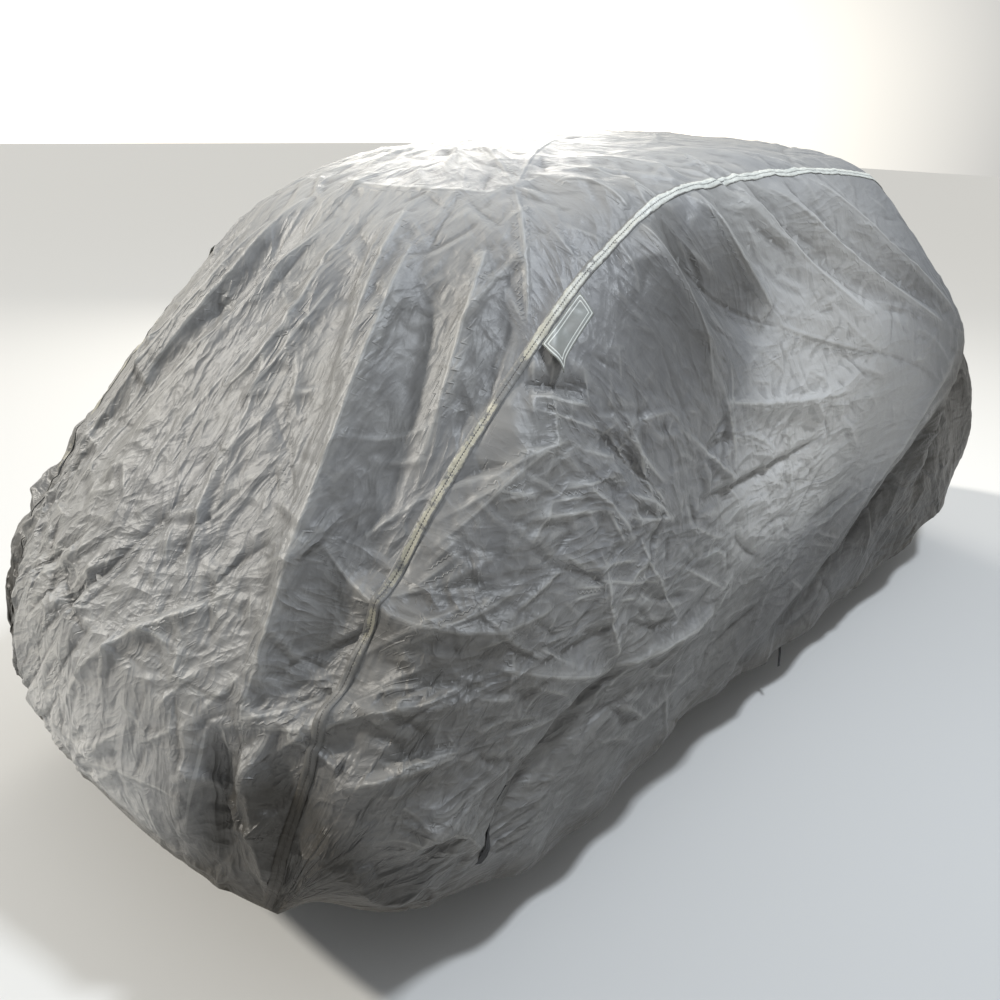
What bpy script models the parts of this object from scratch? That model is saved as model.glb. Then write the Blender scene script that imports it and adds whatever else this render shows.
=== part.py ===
"""A fitted car cover as it hangs when it is on: top panel, two side panels, taped seams, flaps and straps.

Every length is in metres. In the tables x runs from the tail to the nose with 0 at 0.64 ahead of the tail,
y runs to the left, and z is the height above the ground. The finished pieces hang from one empty, which
moves the point under the roof, HANG, to the origin.
"""
import math

import bmesh
import bpy
import numpy as np
from mathutils import Vector
from mathutils.bvhtree import BVHTree

# ---------------------------------------------------------------- driving sizes
CLOTH = 0.002            # thickness of the coated cloth
GAP = 0.0003             # air between two pieces that touch
TIP = 0.03               # part of its last cell by which a side panel's tip stops short
TAPE_HALF = 0.014        # half the width of the tape over a seam
TAPE_THICK = 0.001
HANG = (0.88, 0.0, 1.358)

CLOTH_LOOK = ((0.30, 0.30, 0.31), 0.42)      # colour, roughness
TAPE_LOOK = ((0.62, 0.63, 0.60), 0.55)
WEBBING_LOOK = ((0.03, 0.03, 0.035), 0.75)

TOP_COLUMNS = 16         # cells across the top panel, between its two tape edges
RIGHT_COLUMNS = 18       # cells down the right side panel, below its tape edge
LEFT_COLUMNS = 11
TAPE_SHARE = 0.4         # the most that the tape takes of a section that is short

LAID = 0.0008            # height of a laid strip over the cloth
RAY = 0.05               # the cloth is probed from this height over a strip's corners
PROBES = 6               # probes for each of the strip's cells, each way
FLAP_FOOT = -0.005       # x of the flap's lower end
FLAP_LONG = 0.125
FLAP_WIDE = 0.050
FLAP_CELLS = (8, 4)      # along and across
FLAP_ROWS = 6            # grid rows of the seam that its length spans
FLAP_TAPER = 0.85        # width at its upper end for 1 at its lower end
FLAP_INSET = 0.002       # from the tape's edge
FLAP_THICK = 0.0015
FLAP_LOOSE = 0.45        # part of its length that isn't sewn down
FLAP_RISE = 0.016        # how far its loose lower end stands off the cloth
FLAP_SEAM_RISE = 0.4     # rise of its seam side for 1 at its other side
HEM_STRAP = ((-0.212, 0.676, 0.385), (-0.272, 0.660, 0.262))
HEM_STRAP_WIDE = 0.016
HEM_STRAP_CELLS = (8, 2)
TAIL_PLACE = 0.86        # x of the strap end that hangs from the hem
TAIL_SHARE = 0.7         # how far it hangs from the corner of the hem's cell where its triangle is narrow
TAIL_STRAP_WIDE = 0.011
TAIL_LAP = 0.018         # how much of it lies behind the hem
TAIL_LONG = 0.064        # and how much hangs free
TAIL_GAP = 0.0006
TAIL_TAPER = 0.02        # loss of half its width for each metre down
TAIL_SWING = 4.0         # how strongly its free end bends back
STRAP_THICK = 0.0015

# ---------------------------------------------------------------- the hanging form
# One row for each section, from the rear hem over the roof to the front hem. A section runs from the seam
# to the middle line of the top panel, and from the seam down the side panel to the hem. rows is the number
# of grid rows in the span before the section, turn is the way the side bulges, in degrees from sideways
# towards the tail, and out is how far it bulges.
SECTION_COLUMNS = ("rows", "seam_x", "seam_y", "seam_z", "mid_x", "mid_z",
                   "hem_x", "hem_y", "hem_z", "turn", "out")
SECTIONS = [
    (0, -0.535, 0.470, 0.215, -0.600, 0.226, -0.535, 0.470, 0.215, 60, 0.000),   # rear hem
    (3, -0.525, 0.520, 0.340, -0.635, 0.355, -0.505, 0.542, 0.268, 55, 0.022),   # tail, lower bulge
    (4, -0.475, 0.530, 0.490, -0.618, 0.520, -0.440, 0.600, 0.240, 45, 0.058),   # tail, top
    (4, -0.375, 0.522, 0.650, -0.515, 0.690, -0.340, 0.635, 0.217, 35, 0.095),   # foot of the rear slope
    (5, -0.230, 0.512, 0.836, -0.350, 0.890, -0.225, 0.660, 0.190, 20, 0.103),
    (6, -0.032, 0.510, 1.038, -0.135, 1.105, -0.060, 0.668, 0.160, 8, 0.098),
    (5, 0.163, 0.500, 1.185, 0.085, 1.277, 0.140, 0.670, 0.178, 0, 0.095),       # head of the rear slope
    (6, 0.426, 0.490, 1.297, 0.380, 1.340, 0.370, 0.668, 0.236, 0, 0.095),       # roof, rear
    (7, 0.870, 0.485, 1.320, 0.880, 1.363, 0.920, 0.650, 0.160, 0, 0.095),       # roof, highest
    (7, 1.290, 0.480, 1.298, 1.330, 1.350, 1.340, 0.650, 0.166, 0, 0.095),       # roof, front edge
    (3, 1.490, 0.510, 1.165, 1.560, 1.220, 1.540, 0.652, 0.168, 0, 0.096),
    (3, 1.650, 0.520, 0.970, 1.720, 0.995, 1.720, 0.655, 0.175, 0, 0.080),       # foot of the front slope
    (4, 1.950, 0.510, 0.865, 1.980, 0.900, 1.930, 0.652, 0.200, -10, 0.080),
    (4, 2.200, 0.490, 0.760, 2.280, 0.800, 2.100, 0.630, 0.215, -25, 0.085),     # nose, top
    (3, 2.310, 0.480, 0.560, 2.420, 0.600, 2.210, 0.590, 0.215, -40, 0.070),
    (2, 2.330, 0.475, 0.380, 2.435, 0.400, 2.280, 0.535, 0.210, -50, 0.040),
    (2, 2.310, 0.460, 0.210, 2.390, 0.210, 2.310, 0.460, 0.210, -60, 0.000),     # front hem
]
CROWN = 2.4              # power of the top panel's crown: the higher, the flatter its middle
SHOULDER = 0.72          # power that moves the side's bulge up towards the seam
DENSE = 48               # points along each panel of a section before it is rounded and measured out
LEFT_REACH = 0.4         # the left half is drawn in and hangs lower, by these parts, fully from this y on
LEFT_NARROW = 0.02
LEFT_SAG = 0.008
ROUNDING = 14            # passes of averaging that round the section over the seam

# The cloth is pushed out to a point on each side: where, how far it reaches each way, and by how much.
TENT_COLUMNS = ("x", "z", "reach_back", "reach_front", "reach_up", "reach_down", "lift")
TENT = (1.560, 0.905, 0.95, 0.17, 0.55, 0.55, 0.102)
TENT_POWER = 1.15
TENT_START = 0.2         # part of the side's height, below the seam, over which the push sets in

# ---------------------------------------------------------------- folds
# One row for each main fold: three points that its crest runs through, its half-width at both ends, how far
# it lifts off the form (a trough is negative), and lean, from -1 to 1, which makes one flank the steeper.
FOLD_COLUMNS = ("start", "middle", "end", "width_start", "width_end", "lift", "lean")
REAR_FOLDS = [
    # the taut ridge from the roof's edge to the corner of the tail
    ((-0.005, -0.230, 1.200), (-0.245, -0.332, 0.930), (-0.540, -0.395, 0.460), 0.040, 0.045, 0.040, 0.2),
    ((-0.080, -0.300, 1.110), (-0.140, -0.372, 1.020), (-0.340, -0.455, 0.780), 0.040, 0.050, -0.021, 0.0),
    ((0.040, -0.355, 1.190), (-0.080, -0.410, 1.055), (-0.240, -0.470, 0.850), 0.030, 0.030, 0.017, 0.0),
    ((0.025, -0.173, 1.232), (-0.080, -0.210, 1.130), (-0.230, -0.285, 0.960), 0.030, 0.030, 0.018, 0.0),
    # long parallel folds down the left half, with one wide trough between them
    ((-0.005, -0.016, 1.224), (-0.200, 0.090, 1.045), (-0.450, 0.210, 0.750), 0.055, 0.065, -0.032, 0.0),
    ((0.020, 0.110, 1.237), (-0.165, 0.150, 1.065), (-0.370, 0.245, 0.830), 0.030, 0.030, 0.024, 0.3),
    ((-0.025, 0.180, 1.194), (-0.220, 0.215, 1.005), (-0.435, 0.325, 0.720), 0.030, 0.030, 0.022, 0.0),
    ((-0.018, -0.035, 1.212), (-0.205, 0.020, 1.036), (-0.460, 0.110, 0.755), 0.040, 0.050, 0.027, 0.0),
    ((-0.057, -0.090, 1.175), (-0.150, -0.110, 1.085), (-0.330, -0.080, 0.905), 0.030, 0.030, 0.015, 0.0),
    ((0.010, 0.330, 1.180), (-0.150, 0.370, 1.020), (-0.350, 0.420, 0.760), 0.030, 0.040, -0.021, 0.0),
    # the tail: a hollow above its bulge, and pleats that fall from the corner
    ((-0.515, 0.330, 0.600), (-0.560, 0.170, 0.625), (-0.565, 0.000, 0.620), 0.030, 0.030, -0.019, 0.0),
    ((-0.550, -0.320, 0.530), (-0.580, -0.320, 0.430), (-0.598, -0.310, 0.300), 0.030, 0.030, 0.019, 0.0),
    ((-0.534, -0.367, 0.532), (-0.553, -0.385, 0.440), (-0.566, -0.400, 0.300), 0.030, 0.030, -0.033, 0.0),
    ((-0.526, -0.406, 0.500), (-0.530, -0.445, 0.430), (-0.531, -0.480, 0.270), 0.030, 0.030, 0.027, 0.0),
    ((-0.610, 0.300, 0.500), (-0.630, 0.240, 0.400), (-0.615, 0.230, 0.260), 0.030, 0.035, 0.015, 0.0),
    ((-0.620, -0.080, 0.480), (-0.640, -0.110, 0.380), (-0.620, -0.120, 0.250), 0.030, 0.035, 0.013, 0.0),
]
RIGHT_FOLDS = [
    # gathers from the roof seam that run together at the tent point, ridge and trough by turns
    ((0.900, -0.480, 1.290), (1.150, -0.610, 1.140), (1.480, -0.705, 0.937), 0.036, 0.012, 0.024, 0.0),
    ((0.800, -0.480, 1.285), (1.000, -0.590, 1.140), (1.360, -0.694, 0.965), 0.034, 0.014, -0.019, 0.0),
    ((0.711, -0.480, 1.285), (0.940, -0.590, 1.145), (1.390, -0.706, 0.935), 0.034, 0.012, 0.024, 0.0),
    ((0.644, -0.480, 1.285), (0.800, -0.580, 1.150), (1.200, -0.680, 0.985), 0.032, 0.016, -0.019, 0.0),
    ((0.590, -0.480, 1.285), (0.740, -0.579, 1.143), (1.050, -0.662, 0.990), 0.032, 0.030, 0.021, 0.0),
    ((0.512, -0.480, 1.280), (0.560, -0.560, 1.180), (0.740, -0.610, 1.060), 0.030, 0.030, -0.015, 0.0),
    ((0.447, -0.480, 1.276), (0.490, -0.571, 1.158), (0.620, -0.612, 1.050), 0.030, 0.030, 0.019, 0.0),
    ((0.345, -0.490, 1.250), (0.390, -0.585, 1.120), (0.620, -0.622, 1.010), 0.045, 0.050, -0.033, 0.0),
    ((0.273, -0.487, 1.235), (0.300, -0.583, 1.108), (0.385, -0.640, 0.920), 0.030, 0.034, 0.027, 0.0),
    ((0.380, -0.645, 0.915), (0.680, -0.660, 0.858), (0.960, -0.682, 0.838), 0.030, 0.034, 0.018, 0.0),
    ((0.640, -0.620, 1.020), (0.820, -0.650, 0.955), (1.060, -0.682, 0.905), 0.030, 0.030, -0.015, 0.3),
    # the taut line from the tent point down to the hem, with the cloth tucked in under it
    ((1.490, -0.722, 0.880), (1.000, -0.680, 0.440), (0.330, -0.672, 0.255), 0.030, 0.040, 0.030, 0.5),
    ((1.540, -0.715, 0.760), (1.250, -0.680, 0.380), (0.700, -0.665, 0.240), 0.050, 0.040, -0.045, 0.0),
    ((1.590, -0.690, 0.820), (1.640, -0.680, 0.600), (1.660, -0.672, 0.340), 0.045, 0.060, -0.045, 0.0),
    # creases of the rear quarter
    ((0.052, -0.682, 0.498), (0.250, -0.680, 0.490), (0.409, -0.677, 0.479), 0.030, 0.030, 0.026, 0.5),
    ((0.000, -0.658, 0.755), (0.018, -0.676, 0.620), (0.060, -0.682, 0.510), 0.030, 0.030, 0.013, 0.0),
    ((-0.510, -0.406, 0.535), (-0.395, -0.575, 0.592), (-0.200, -0.672, 0.568), 0.030, 0.030, 0.022, 0.4),
    ((-0.254, -0.647, 0.635), (-0.113, -0.678, 0.569), (0.052, -0.682, 0.498), 0.030, 0.030, 0.021, 0.4),
    ((-0.487, -0.549, 0.469), (-0.400, -0.625, 0.516), (-0.300, -0.662, 0.500), 0.030, 0.030, 0.019, 0.4),
    ((-0.348, -0.392, 0.777), (-0.313, -0.577, 0.693), (-0.111, -0.661, 0.687), 0.030, 0.034, 0.019, 0.0),
    ((-0.410, -0.640, 0.350), (-0.365, -0.654, 0.428), (-0.270, -0.667, 0.310), 0.030, 0.030, 0.033, 0.0),
    ((-0.478, -0.596, 0.385), (-0.440, -0.612, 0.300), (-0.360, -0.645, 0.300), 0.030, 0.030, 0.019, 0.0),
    ((0.100, -0.681, 0.470), (-0.080, -0.682, 0.425), (-0.255, -0.668, 0.290), 0.036, 0.040, -0.039, 0.3),
    ((-0.020, -0.535, 1.020), (0.040, -0.605, 0.935), (0.190, -0.660, 0.790), 0.034, 0.040, -0.015, 0.0),
    ((-0.060, -0.510, 1.000), (-0.120, -0.590, 0.880), (-0.150, -0.650, 0.760), 0.034, 0.040, 0.018, 0.0),
]
ROOF_FOLDS = [
    # ripples that cross the roof's right edge
    ((0.240, -0.290, 1.285), (0.270, -0.385, 1.278), (0.285, -0.470, 1.248), 0.030, 0.030, 0.011, 0.0),
    ((0.350, -0.260, 1.320), (0.405, -0.383, 1.309), (0.450, -0.470, 1.285), 0.030, 0.030, 0.012, 0.0),
    ((0.460, -0.290, 1.329), (0.530, -0.380, 1.318), (0.590, -0.470, 1.290), 0.030, 0.030, 0.012, 0.0),
    ((0.600, -0.290, 1.340), (0.700, -0.380, 1.328), (0.800, -0.470, 1.300), 0.030, 0.030, 0.012, 0.0),
]
FRONT_FOLDS = [
    # the slack of the front slope and the draw towards the nose corners
    ((1.340, -0.380, 1.330), (1.500, -0.200, 1.240), (1.700, -0.060, 1.010), 0.050, 0.060, -0.024, 0.0),
    ((1.360, 0.360, 1.325), (1.540, 0.220, 1.215), (1.720, 0.140, 1.000), 0.045, 0.055, -0.021, 0.0),
    ((1.400, 0.040, 1.330), (1.560, 0.020, 1.215), (1.720, 0.040, 0.998), 0.040, 0.045, 0.015, 0.0),
    ((1.660, -0.500, 0.965), (1.900, -0.380, 0.905), (2.200, -0.300, 0.830), 0.045, 0.050, 0.018, 0.0),
    ((1.680, 0.480, 0.960), (1.930, 0.360, 0.900), (2.230, 0.320, 0.820), 0.045, 0.050, 0.017, 0.0),
    ((2.380, 0.220, 0.680), (2.430, 0.240, 0.480), (2.400, 0.250, 0.260), 0.045, 0.045, 0.018, 0.0),
    ((2.380, -0.160, 0.690), (2.430, -0.170, 0.480), (2.400, -0.180, 0.260), 0.045, 0.045, -0.018, 0.0),
    ((1.620, -0.700, 0.720), (1.800, -0.700, 0.580), (2.000, -0.670, 0.420), 0.050, 0.060, 0.024, 0.0),
    ((1.600, -0.710, 0.800), (1.850, -0.700, 0.560), (2.080, -0.660, 0.360), 0.040, 0.050, -0.021, 0.0),
    ((1.900, -0.600, 0.820), (2.060, -0.690, 0.560), (2.150, -0.650, 0.330), 0.045, 0.050, 0.021, 0.0),
]
# The left side repeats the right one's folds across the middle, a little further forward and softer.
LEFT_SHIFT = 0.035
LEFT_LIFT = 0.85
PATH_PIECES = 8          # straight pieces that a fold's crest is measured along
FOLD_END = 0.16          # part of a fold's length over which it rises from nothing
CREST_RADIUS = 0.012
FLANK_POWER = 1.6        # above 1 makes the flanks hollow

# Slack: long low waves all over, and ruffles that grow towards the drawn-in hem.
SLACK = 0.0035
SLACK_WAVES = ((7.1, 3.3, 5.2), (-4.4, 8.7, 6.3), (11.3, -5.9, 3.1))
RUFFLE = 0.007
RUFFLE_HEIGHT = 0.2      # the ruffles are full up to this height
RUFFLE_REACH = 0.16      # and fade out over this much above it
RUFFLE_RATE = 24.0       # their waves, in radians for each metre of x
RUFFLE_DRIFT = 3.0       # how far the waves run ahead and fall behind, in radians, by a slow wave of its own
RUFFLE_DRIFT_RATE = 2.0


def smooth(knots, values, at):
    """Cubic through the values that keeps their rises and falls, by the harmonic mean of the slopes."""
    step = np.diff(knots)
    slope = np.diff(values) / step
    tangent = np.concatenate([slope[:1], np.zeros(len(slope) - 1), slope[-1:]])
    same = slope[:-1] * slope[1:] > 0
    before, after = 2 * step[1:] + step[:-1], step[1:] + 2 * step[:-1]
    low = np.where(same, slope[:-1], 1.0)
    high = np.where(same, slope[1:], 1.0)
    tangent[1:-1] = np.where(same, (before + after) / (before / low + after / high), 0.0)
    span = np.clip(np.searchsorted(knots, at, side="right") - 1, 0, len(step) - 1)
    u = (at - knots[span]) / step[span]
    return ((1 + 2 * u) * (1 - u) ** 2 * values[span] + u * (1 - u) ** 2 * step[span] * tangent[span]
            + u * u * (3 - 2 * u) * values[span + 1] + u * u * (u - 1) * step[span] * tangent[span + 1])


def sections_at(rows):
    """Each column of SECTIONS, read at the given grid rows, as an upright array."""
    table = np.array(SECTIONS, float)
    knots = np.cumsum(table[:, 0])
    return {name: smooth(knots, table[:, i], rows)[:, None]
            for i, name in enumerate(SECTION_COLUMNS) if name != "rows"}


def tent_lift(x, z):
    """Push of the tent point: a cone with its own reach each way, its flanks slightly hollow."""
    tent = dict(zip(TENT_COLUMNS, TENT))
    along = (x - tent["x"]) / np.where(x < tent["x"], tent["reach_back"], tent["reach_front"])
    up = (z - tent["z"]) / np.where(z > tent["z"], tent["reach_up"], tent["reach_down"])
    return tent["lift"] * np.clip(1 - np.hypot(along, up), 0, 1) ** TENT_POWER


def side_points(section, down, side):
    """Side panel: straight from seam to hem, plus a sine bulge, plus the tent. down is 0 at the seam."""
    bulge = section["out"] * np.sin(math.pi * down ** SHOULDER)
    turn = np.radians(section["turn"])
    x = section["seam_x"] + (section["hem_x"] - section["seam_x"]) * down - bulge * np.sin(turn)
    y = section["seam_y"] + (section["hem_y"] - section["seam_y"]) * down + bulge * np.cos(turn)
    z = section["seam_z"] + (section["hem_z"] - section["seam_z"]) * down
    y = y + tent_lift(x, z) * np.clip(down / TENT_START, 0, 1)
    return np.stack([x, side * y, z], -1)


def top_points(section, across):
    """Top panel: from the seam's place to the middle's by 1 - |across| to the power CROWN."""
    rise = 1 - np.abs(across) ** CROWN
    x = section["seam_x"] + (section["mid_x"] - section["seam_x"]) * rise
    z = section["seam_z"] + (section["mid_z"] - section["seam_z"]) * rise
    return np.stack([x, section["seam_y"] * across, z], -1)


def dense_sections(rows):
    """Whole sections, left hem to right hem, as close points, rounded over the seams by averaging."""
    section = sections_at(rows)
    down = np.linspace(0, 1, DENSE + 1)[None, :]
    across = np.linspace(1, -1, DENSE + 1)[None, :]
    line = np.concatenate([side_points(section, down[:, ::-1], 1), top_points(section, across)[:, 1:-1],
                           side_points(section, down, -1)], axis=1)
    leftward = np.clip(line[..., 1] / LEFT_REACH, 0, 1)
    line[..., 1] *= 1 - LEFT_NARROW * leftward
    line[..., 2] *= 1 - LEFT_SAG * leftward
    for _ in range(ROUNDING):
        line[:, 1:-1] = (line[:, :-2] + 2 * line[:, 1:-1] + line[:, 2:]) / 4
    return line


def measured_out(line, tape_edge, cells, both_ends):
    """Points along each line at its tape edge and then evenly on, to its far end or to a second tape edge."""
    length = np.concatenate([np.zeros((len(line), 1)),
                             np.cumsum(np.linalg.norm(np.diff(line, axis=1), axis=2), axis=1)], axis=1)
    whole = length[:, -1:]
    edge = np.minimum(tape_edge, TAPE_SHARE * whole)
    even = np.linspace(0, 1, cells + 1)[None, :]
    far = whole - edge if both_ends else whole
    place = np.concatenate([0 * whole, edge + (far - edge) * even] + ([whole] if both_ends else []), axis=1)
    return np.stack([np.stack([np.interp(place[i], length[i], line[i, :, k]) for k in range(3)], -1)
                     for i in range(len(line))])


def mirrored(fold):
    """The same fold on the left side."""
    *points, width_start, width_end, lift, lean = fold
    return (*[(x + LEFT_SHIFT, -y, z) for x, y, z in points], width_start, width_end, lift * LEFT_LIFT, -lean)


def to_crest(points, normals, fold):
    """The way over the form from each point to a fold's crest, how far along the crest it is, and its run."""
    start, middle, end = (np.array(point) for point in fold[:3])
    t = np.linspace(0, 1, PATH_PIECES + 1)[:, None]
    crest = (1 - t) * (1 - 2 * t) * start + 4 * t * (1 - t) * middle + t * (2 * t - 1) * end
    nearest = np.full(len(points), np.inf)
    way, place, run = np.zeros_like(points), np.zeros(len(points)), np.zeros_like(points)
    for i in range(PATH_PIECES):
        step = crest[i + 1] - crest[i]
        u = np.clip((points - crest[i]) @ step / (step @ step), 0, 1)
        offset = crest[i] + u[:, None] * step - points
        distance = np.linalg.norm(offset, axis=1)
        near = distance < nearest
        nearest = np.where(near, distance, nearest)
        place = np.where(near, (i + u) / PATH_PIECES, place)
        way[near], run[near] = offset[near], step
    return way - (way * normals).sum(1, keepdims=True) * normals, place, run


def fold_lift(points, normals, fold):
    """Lift of one fold: a pointed crest with hollow flanks, its width sliding from end to end."""
    row = dict(zip(FOLD_COLUMNS, fold))
    way, place, run = to_crest(points, normals, fold)
    flank = np.sign((np.cross(run, normals) * way).sum(1))
    width = (row["width_start"] + (row["width_end"] - row["width_start"]) * place) * (1 - row["lean"] * flank)
    away = np.sqrt((way ** 2).sum(1) + CREST_RADIUS ** 2) - CREST_RADIUS
    ends = np.clip(place / FOLD_END, 0, 1) * np.clip((1 - place) / FOLD_END, 0, 1)
    return row["lift"] * np.clip(1 - away / (2 * width), 0, 1) ** FLANK_POWER * ends * (2 - ends)


def grid_normals(grid):
    """Outward unit normals of a grid of points, from the steps to the neighbours both ways."""
    normal = np.cross(np.gradient(grid, axis=1), np.gradient(grid, axis=0))
    normal[0] = normal[1]
    normal[-1] = normal[-2]
    return normal / np.linalg.norm(normal, axis=2, keepdims=True)


def draped(points, outward, folds):
    """Points of the form with folds, slack and ruffles: each moves along the form's outward normal."""
    lift = sum(fold_lift(points, outward, fold) for fold in folds)
    for rate in SLACK_WAVES:
        lift = lift + SLACK / len(SLACK_WAVES) * np.sin(points @ np.array(rate) + rate[0])
    x, z = points[:, 0], points[:, 2]
    wave = np.sin(RUFFLE_RATE * x + RUFFLE_DRIFT * np.sin(RUFFLE_DRIFT_RATE * x))
    lift = lift + RUFFLE * wave * np.clip(1 - (z - RUFFLE_HEIGHT) / RUFFLE_REACH, 0, 1)
    return points + outward * lift[:, None]


def finish(name, colour, roughness):
    """A plain material with one colour and roughness."""
    material = bpy.data.materials.new(name)
    material.use_nodes = True
    shader = material.node_tree.nodes["Principled BSDF"]
    shader.inputs["Base Color"].default_value = (*colour, 1.0)
    shader.inputs["Roughness"].default_value = roughness
    shader.inputs["Metallic"].default_value = 0.0
    return material


def grid_triangles(cuts):
    """Corner numbers of a grid's triangles. cuts tells for each cell which diagonal it is cut along."""
    rows, columns = cuts.shape[0] + 1, cuts.shape[1] + 1
    corner = np.arange(rows * columns).reshape(rows, columns)
    a, b, c, d = corner[:-1, :-1], corner[1:, :-1], corner[1:, 1:], corner[:-1, 1:]
    straight = np.stack([a, c, b, a, d, c], -1)
    crossed = np.stack([a, d, b, b, d, c], -1)
    return np.where(cuts[..., None], crossed, straight).reshape(-1, 3)


def sheet(name, outer, inner, cuts, look, collection):
    """A closed sheet between two grids of points, with walls round its rim.

    Rows that meet in a point are welded. Each wall is cut from its lower row's outer corner, so that the
    walls of two pieces along a seam lie alike.
    """
    rows, columns = outer.shape[:2]
    corner = np.arange(rows * columns).reshape(rows, columns)
    front = grid_triangles(cuts)
    under = rows * columns
    back = front[:, ::-1] + under
    rim = np.concatenate([corner[0, :], corner[1:, -1], corner[-1, -2::-1], corner[-2:0:-1, 0]])
    after = np.roll(rim, -1)
    low, high = np.minimum(rim, after), np.maximum(rim, after)
    walls = np.concatenate([np.stack([low, high, high + under], -1),
                            np.stack([low, high + under, low + under], -1)])
    mesh = bpy.data.meshes.new(name)
    mesh.from_pydata(np.concatenate([outer.reshape(-1, 3), inner.reshape(-1, 3)]).tolist(), [],
                     np.concatenate([front, back, walls]).tolist())
    welded = bmesh.new()
    welded.from_mesh(mesh)
    bmesh.ops.remove_doubles(welded, verts=welded.verts, dist=1e-6)
    bmesh.ops.recalc_face_normals(welded, faces=welded.faces)
    welded.to_mesh(mesh)
    welded.free()
    mesh.shade_smooth()
    mesh.materials.append(finish(name + "_finish", *look))
    piece = bpy.data.objects.new(name, mesh)
    collection.objects.link(piece)
    return piece


def panel(name, grid, normals, cuts, seams, look, collection):
    """One panel of cloth: its seam edges drawn back by half the gap, its thickness laid inwards.

    seams holds the column of each seam edge and the one beside it. A side panel ends in a tip at both ends.
    """
    outer, up = grid.copy(), normals.copy()
    for edge, beside in seams:
        step = grid[:, beside] - grid[:, edge]
        length = np.maximum(np.linalg.norm(step, axis=1, keepdims=True), GAP)
        outer[:, edge] += step / length * (GAP / 2)
    if len(seams) == 1:
        for tip, next_row in ((0, 1), (-1, -2)):
            outer[tip] = grid[tip] + (grid[next_row].mean(0) - grid[tip]) * TIP
            up[tip] = normals[tip, seams[0][0]]
    return sheet(name, outer, outer - CLOTH * up, cuts, look, collection)


def seam_tape(name, grid, normals, cuts, seam, look, collection):
    """Tape laid over a seam: the panels' own points on and beside the seam, lifted off the cloth."""
    strip = grid[1:-1, seam - 1:seam + 2]
    up = normals[1:-1, seam - 1:seam + 2]
    return sheet(name, strip + (GAP + TAPE_THICK) * up, strip + GAP * up, cuts[1:-1, seam - 1:seam + 1],
                 look, collection)


def spread(corners, along, across):
    """Points between four corners: start left, start right, end left, end right."""
    start_left, start_right, end_left, end_right = corners
    along, across = along[:, None, None], across[None, :, None]
    return ((1 - along) * ((1 - across) * start_left + across * start_right)
            + along * ((1 - across) * end_left + across * end_right))


def laid_strip(name, cloth, cuts, corners, cells, rise, thick, look, collection):
    """A strip laid on the cloth, whose grid of points is given, between four corners.

    rise(along, across) is its height over the cloth, with both measures from 0 to 1. Where the cloth bulges
    between the strip's own points, those points are raised by as much.
    """
    tree = BVHTree.FromPolygons(cloth.reshape(-1, 3).tolist(), grid_triangles(cuts).tolist())
    corners = np.array(corners)
    hits = [tree.find_nearest(Vector(corner)) for corner in corners]
    up = np.array([hit[1] for hit in hits]).mean(0)
    up = up / np.linalg.norm(up) * math.copysign(1, up[1] * corners[0, 1])
    corners = np.array([hit[0] for hit in hits]) + up * RAY
    close = [np.linspace(0, 1, n * PROBES + 1) for n in cells]
    high = spread(corners, *close)
    depth = np.array([tree.ray_cast(Vector(point), Vector(-up))[3] for point in high.reshape(-1, 3)])
    height = RAY - depth.reshape(high.shape[:2])
    own = [np.linspace(0, 1, n + 1) for n in cells]
    level = height[::PROBES, ::PROBES]
    between = np.stack([np.interp(close[0], own[0], level[:, j]) for j in range(cells[1] + 1)], 1)
    between = np.stack([np.interp(close[1], own[1], row) for row in between])
    bulge = np.pad(np.maximum(height - between, 0), PROBES)
    raised = np.array([[bulge[i * PROBES:(i + 2) * PROBES + 1, j * PROBES:(j + 2) * PROBES + 1].max()
                        for j in range(cells[1] + 1)] for i in range(cells[0] + 1)])
    over = level + raised + rise(own[0][:, None], own[1][None, :])
    inner = spread(corners, *own) + up * (over - RAY)[..., None]
    return sheet(name, inner + up * thick, inner, np.zeros(cells, bool), look, collection)


def corner_flap(name, grid, cuts, look, collection):
    """The stitched flap beside the seam on a rear corner: flat where it is sewn, lifting at its lower end."""
    edge = grid[:, 1]
    foot = np.searchsorted(edge[:, 0], FLAP_FOOT)
    run = edge[foot:foot + FLAP_ROWS]
    outwards = grid[foot, 3] - grid[foot, 1]
    outwards = outwards / np.linalg.norm(outwards)
    length = np.concatenate([[0], np.cumsum(np.linalg.norm(np.diff(run, axis=0), axis=1))])
    head = np.array([np.interp(FLAP_LONG, length, run[:, k]) for k in range(3)])
    start, end = run[0] + outwards * FLAP_INSET, head + outwards * FLAP_INSET
    corners = (start, start + outwards * FLAP_WIDE, end, end + outwards * FLAP_WIDE * FLAP_TAPER)

    def rise(along, across):
        loose = np.clip(1 - along / FLAP_LOOSE, 0, 1) ** 2
        return LAID + FLAP_RISE * loose * (FLAP_SEAM_RISE + (1 - FLAP_SEAM_RISE) * across)

    return laid_strip(name, grid, cuts, corners, FLAP_CELLS, rise, FLAP_THICK, look, collection)


def strap_corners(start, end, wide):
    """Corners of a straight strap between two points on a side, its width square to its run."""
    start, end = np.array(start), np.array(end)
    run = end - start
    across = np.array([-run[2], 0, run[0]]) / math.hypot(run[0], run[2]) * wide / 2
    return start + across, start - across, end + across, end - across


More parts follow.
